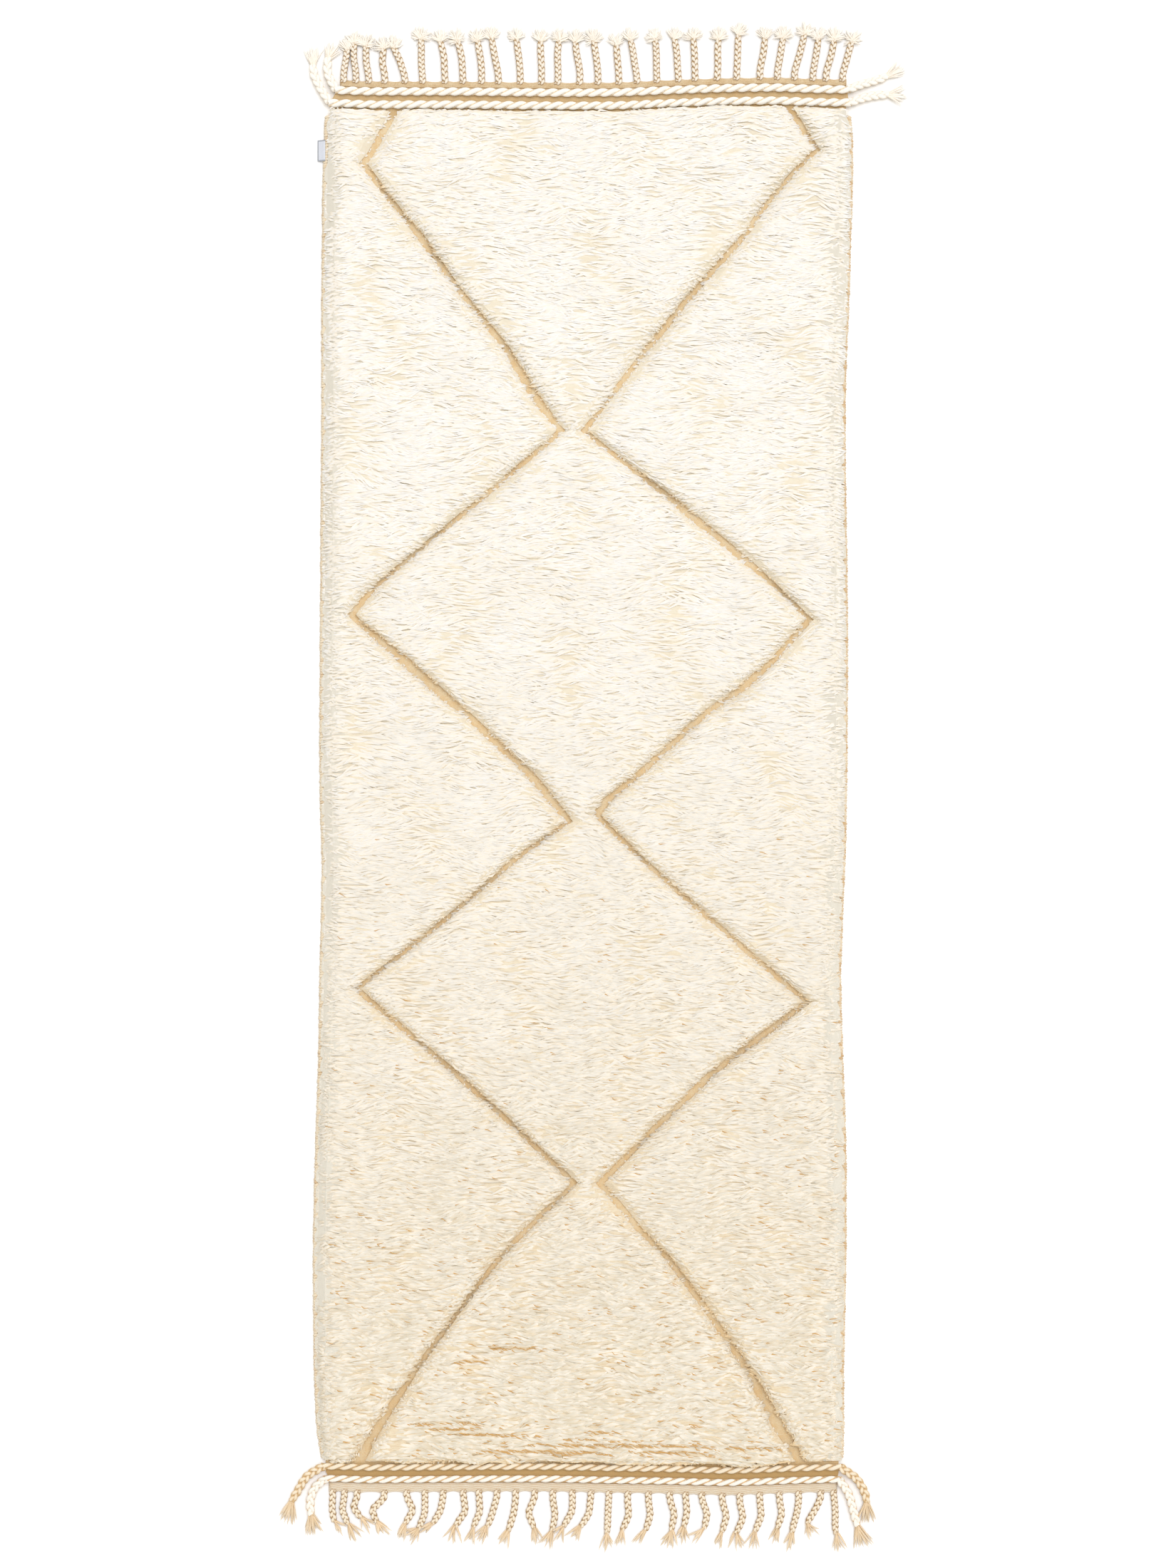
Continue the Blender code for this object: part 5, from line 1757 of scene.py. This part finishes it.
bm = bmesh.new()
bmesh.ops.create_grid(bm, x_segments=16, y_segments=8, size=1.0)
label_side = cloth_side(LABEL_MIDDLE, -1) - LABEL_OUTSIDE
stations = np.linspace(-1, 1, len(LABEL_WAY))
for vertex in bm.verts:
    inwards = np.interp(-vertex.co.x, stations, LABEL_WAY[:, 0])
    height = np.interp(-vertex.co.x, stations, LABEL_WAY[:, 1])
    vertex.co = (label_side + inwards, LABEL_MIDDLE + vertex.co.y * LABEL_LENGTH / 2, height)
bmesh.ops.recalc_face_normals(bm, faces=bm.faces)
bmesh.ops.solidify(bm, geom=bm.faces[:], thickness=LABEL_THICKNESS)
bmesh.ops.recalc_face_normals(bm, faces=bm.faces)
label_mesh = bpy.data.meshes.new("edge_label")
bm.to_mesh(label_mesh)
bm.free()
label_mesh.shade_flat()
label = bpy.data.objects.new("edge_label", label_mesh)
bpy.context.scene.collection.objects.link(label)
print("edge_label:", len(label_mesh.polygons), "faces")

# %% [markdown]
# Its tape is smoother than wool, pale and bluish, with fine ribs across. Its hems and its free
# end are darker. All of that follows X and Y, so the pattern needs no map.

# %% Finish of the label
TAPE_RIB = 0.9 * MM
TAPE_SHADE = (0.56, 0.59, 0.66)
TAPE_PALE = (0.78, 0.80, 0.86)
TAPE_HEM = (0.36, 0.38, 0.42)
HEM_FROM = (13.6 * MM, 14.4 * MM)  # distance from its middle
FREE_END_FROM = (7.0 * MM, 7.8 * MM)  # distance past the selvedge
TAPE_DEPTH = 0.1 * MM  # of the relief

tape = Finish("label_weave", roughness=0.55)
threads = (tape.axis(1) * (2 * math.pi / TAPE_RIB)).sine()
weave = tape.mix(threads.above(-1.0, 1.0), TAPE_SHADE, TAPE_PALE)
from_middle = (tape.axis(1) - LABEL_MIDDLE).unsigned()
hem = from_middle.above(*HEM_FROM)
free_end = tape.axis(0).above(*(label_side - past for past in FREE_END_FROM))
tape.colour(tape.mix((hem + free_end).above(0.0, 1.0), weave, TAPE_HEM))
tape.bump(threads, TAPE_DEPTH)
label_mesh.materials.append(tape.finished())

# %% [markdown]
# ## What rides on what
#
# The rug has no joints, so every piece rides on its one body, and each solid that a piece dresses
# is hidden.

# %% Put the pieces on the rug's body and hide the solids
dressing = {
    "flat_weave": [("pile_field", flat_weave)],
    "pile_wool": [("pile_field", piece) for piece in pile],
    "selvedge_wool": [("selvedge_left", selvedge_left), ("selvedge_right", selvedge_right)],
    "cord_wool": list(zip(CORDS, cords)),
    "fringe_wool": [
        *(("fringe_upper", piece) for piece in (*fringe_upper, heading_upper)),
        *(("fringe_lower", piece) for piece in (*fringe_lower, heading_lower)),
    ],
    "label_weave": [("edge_label", label)],
}
for slot, pairs in dressing.items():
    for node, piece in pairs:
        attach(piece, "root")
        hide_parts(node)
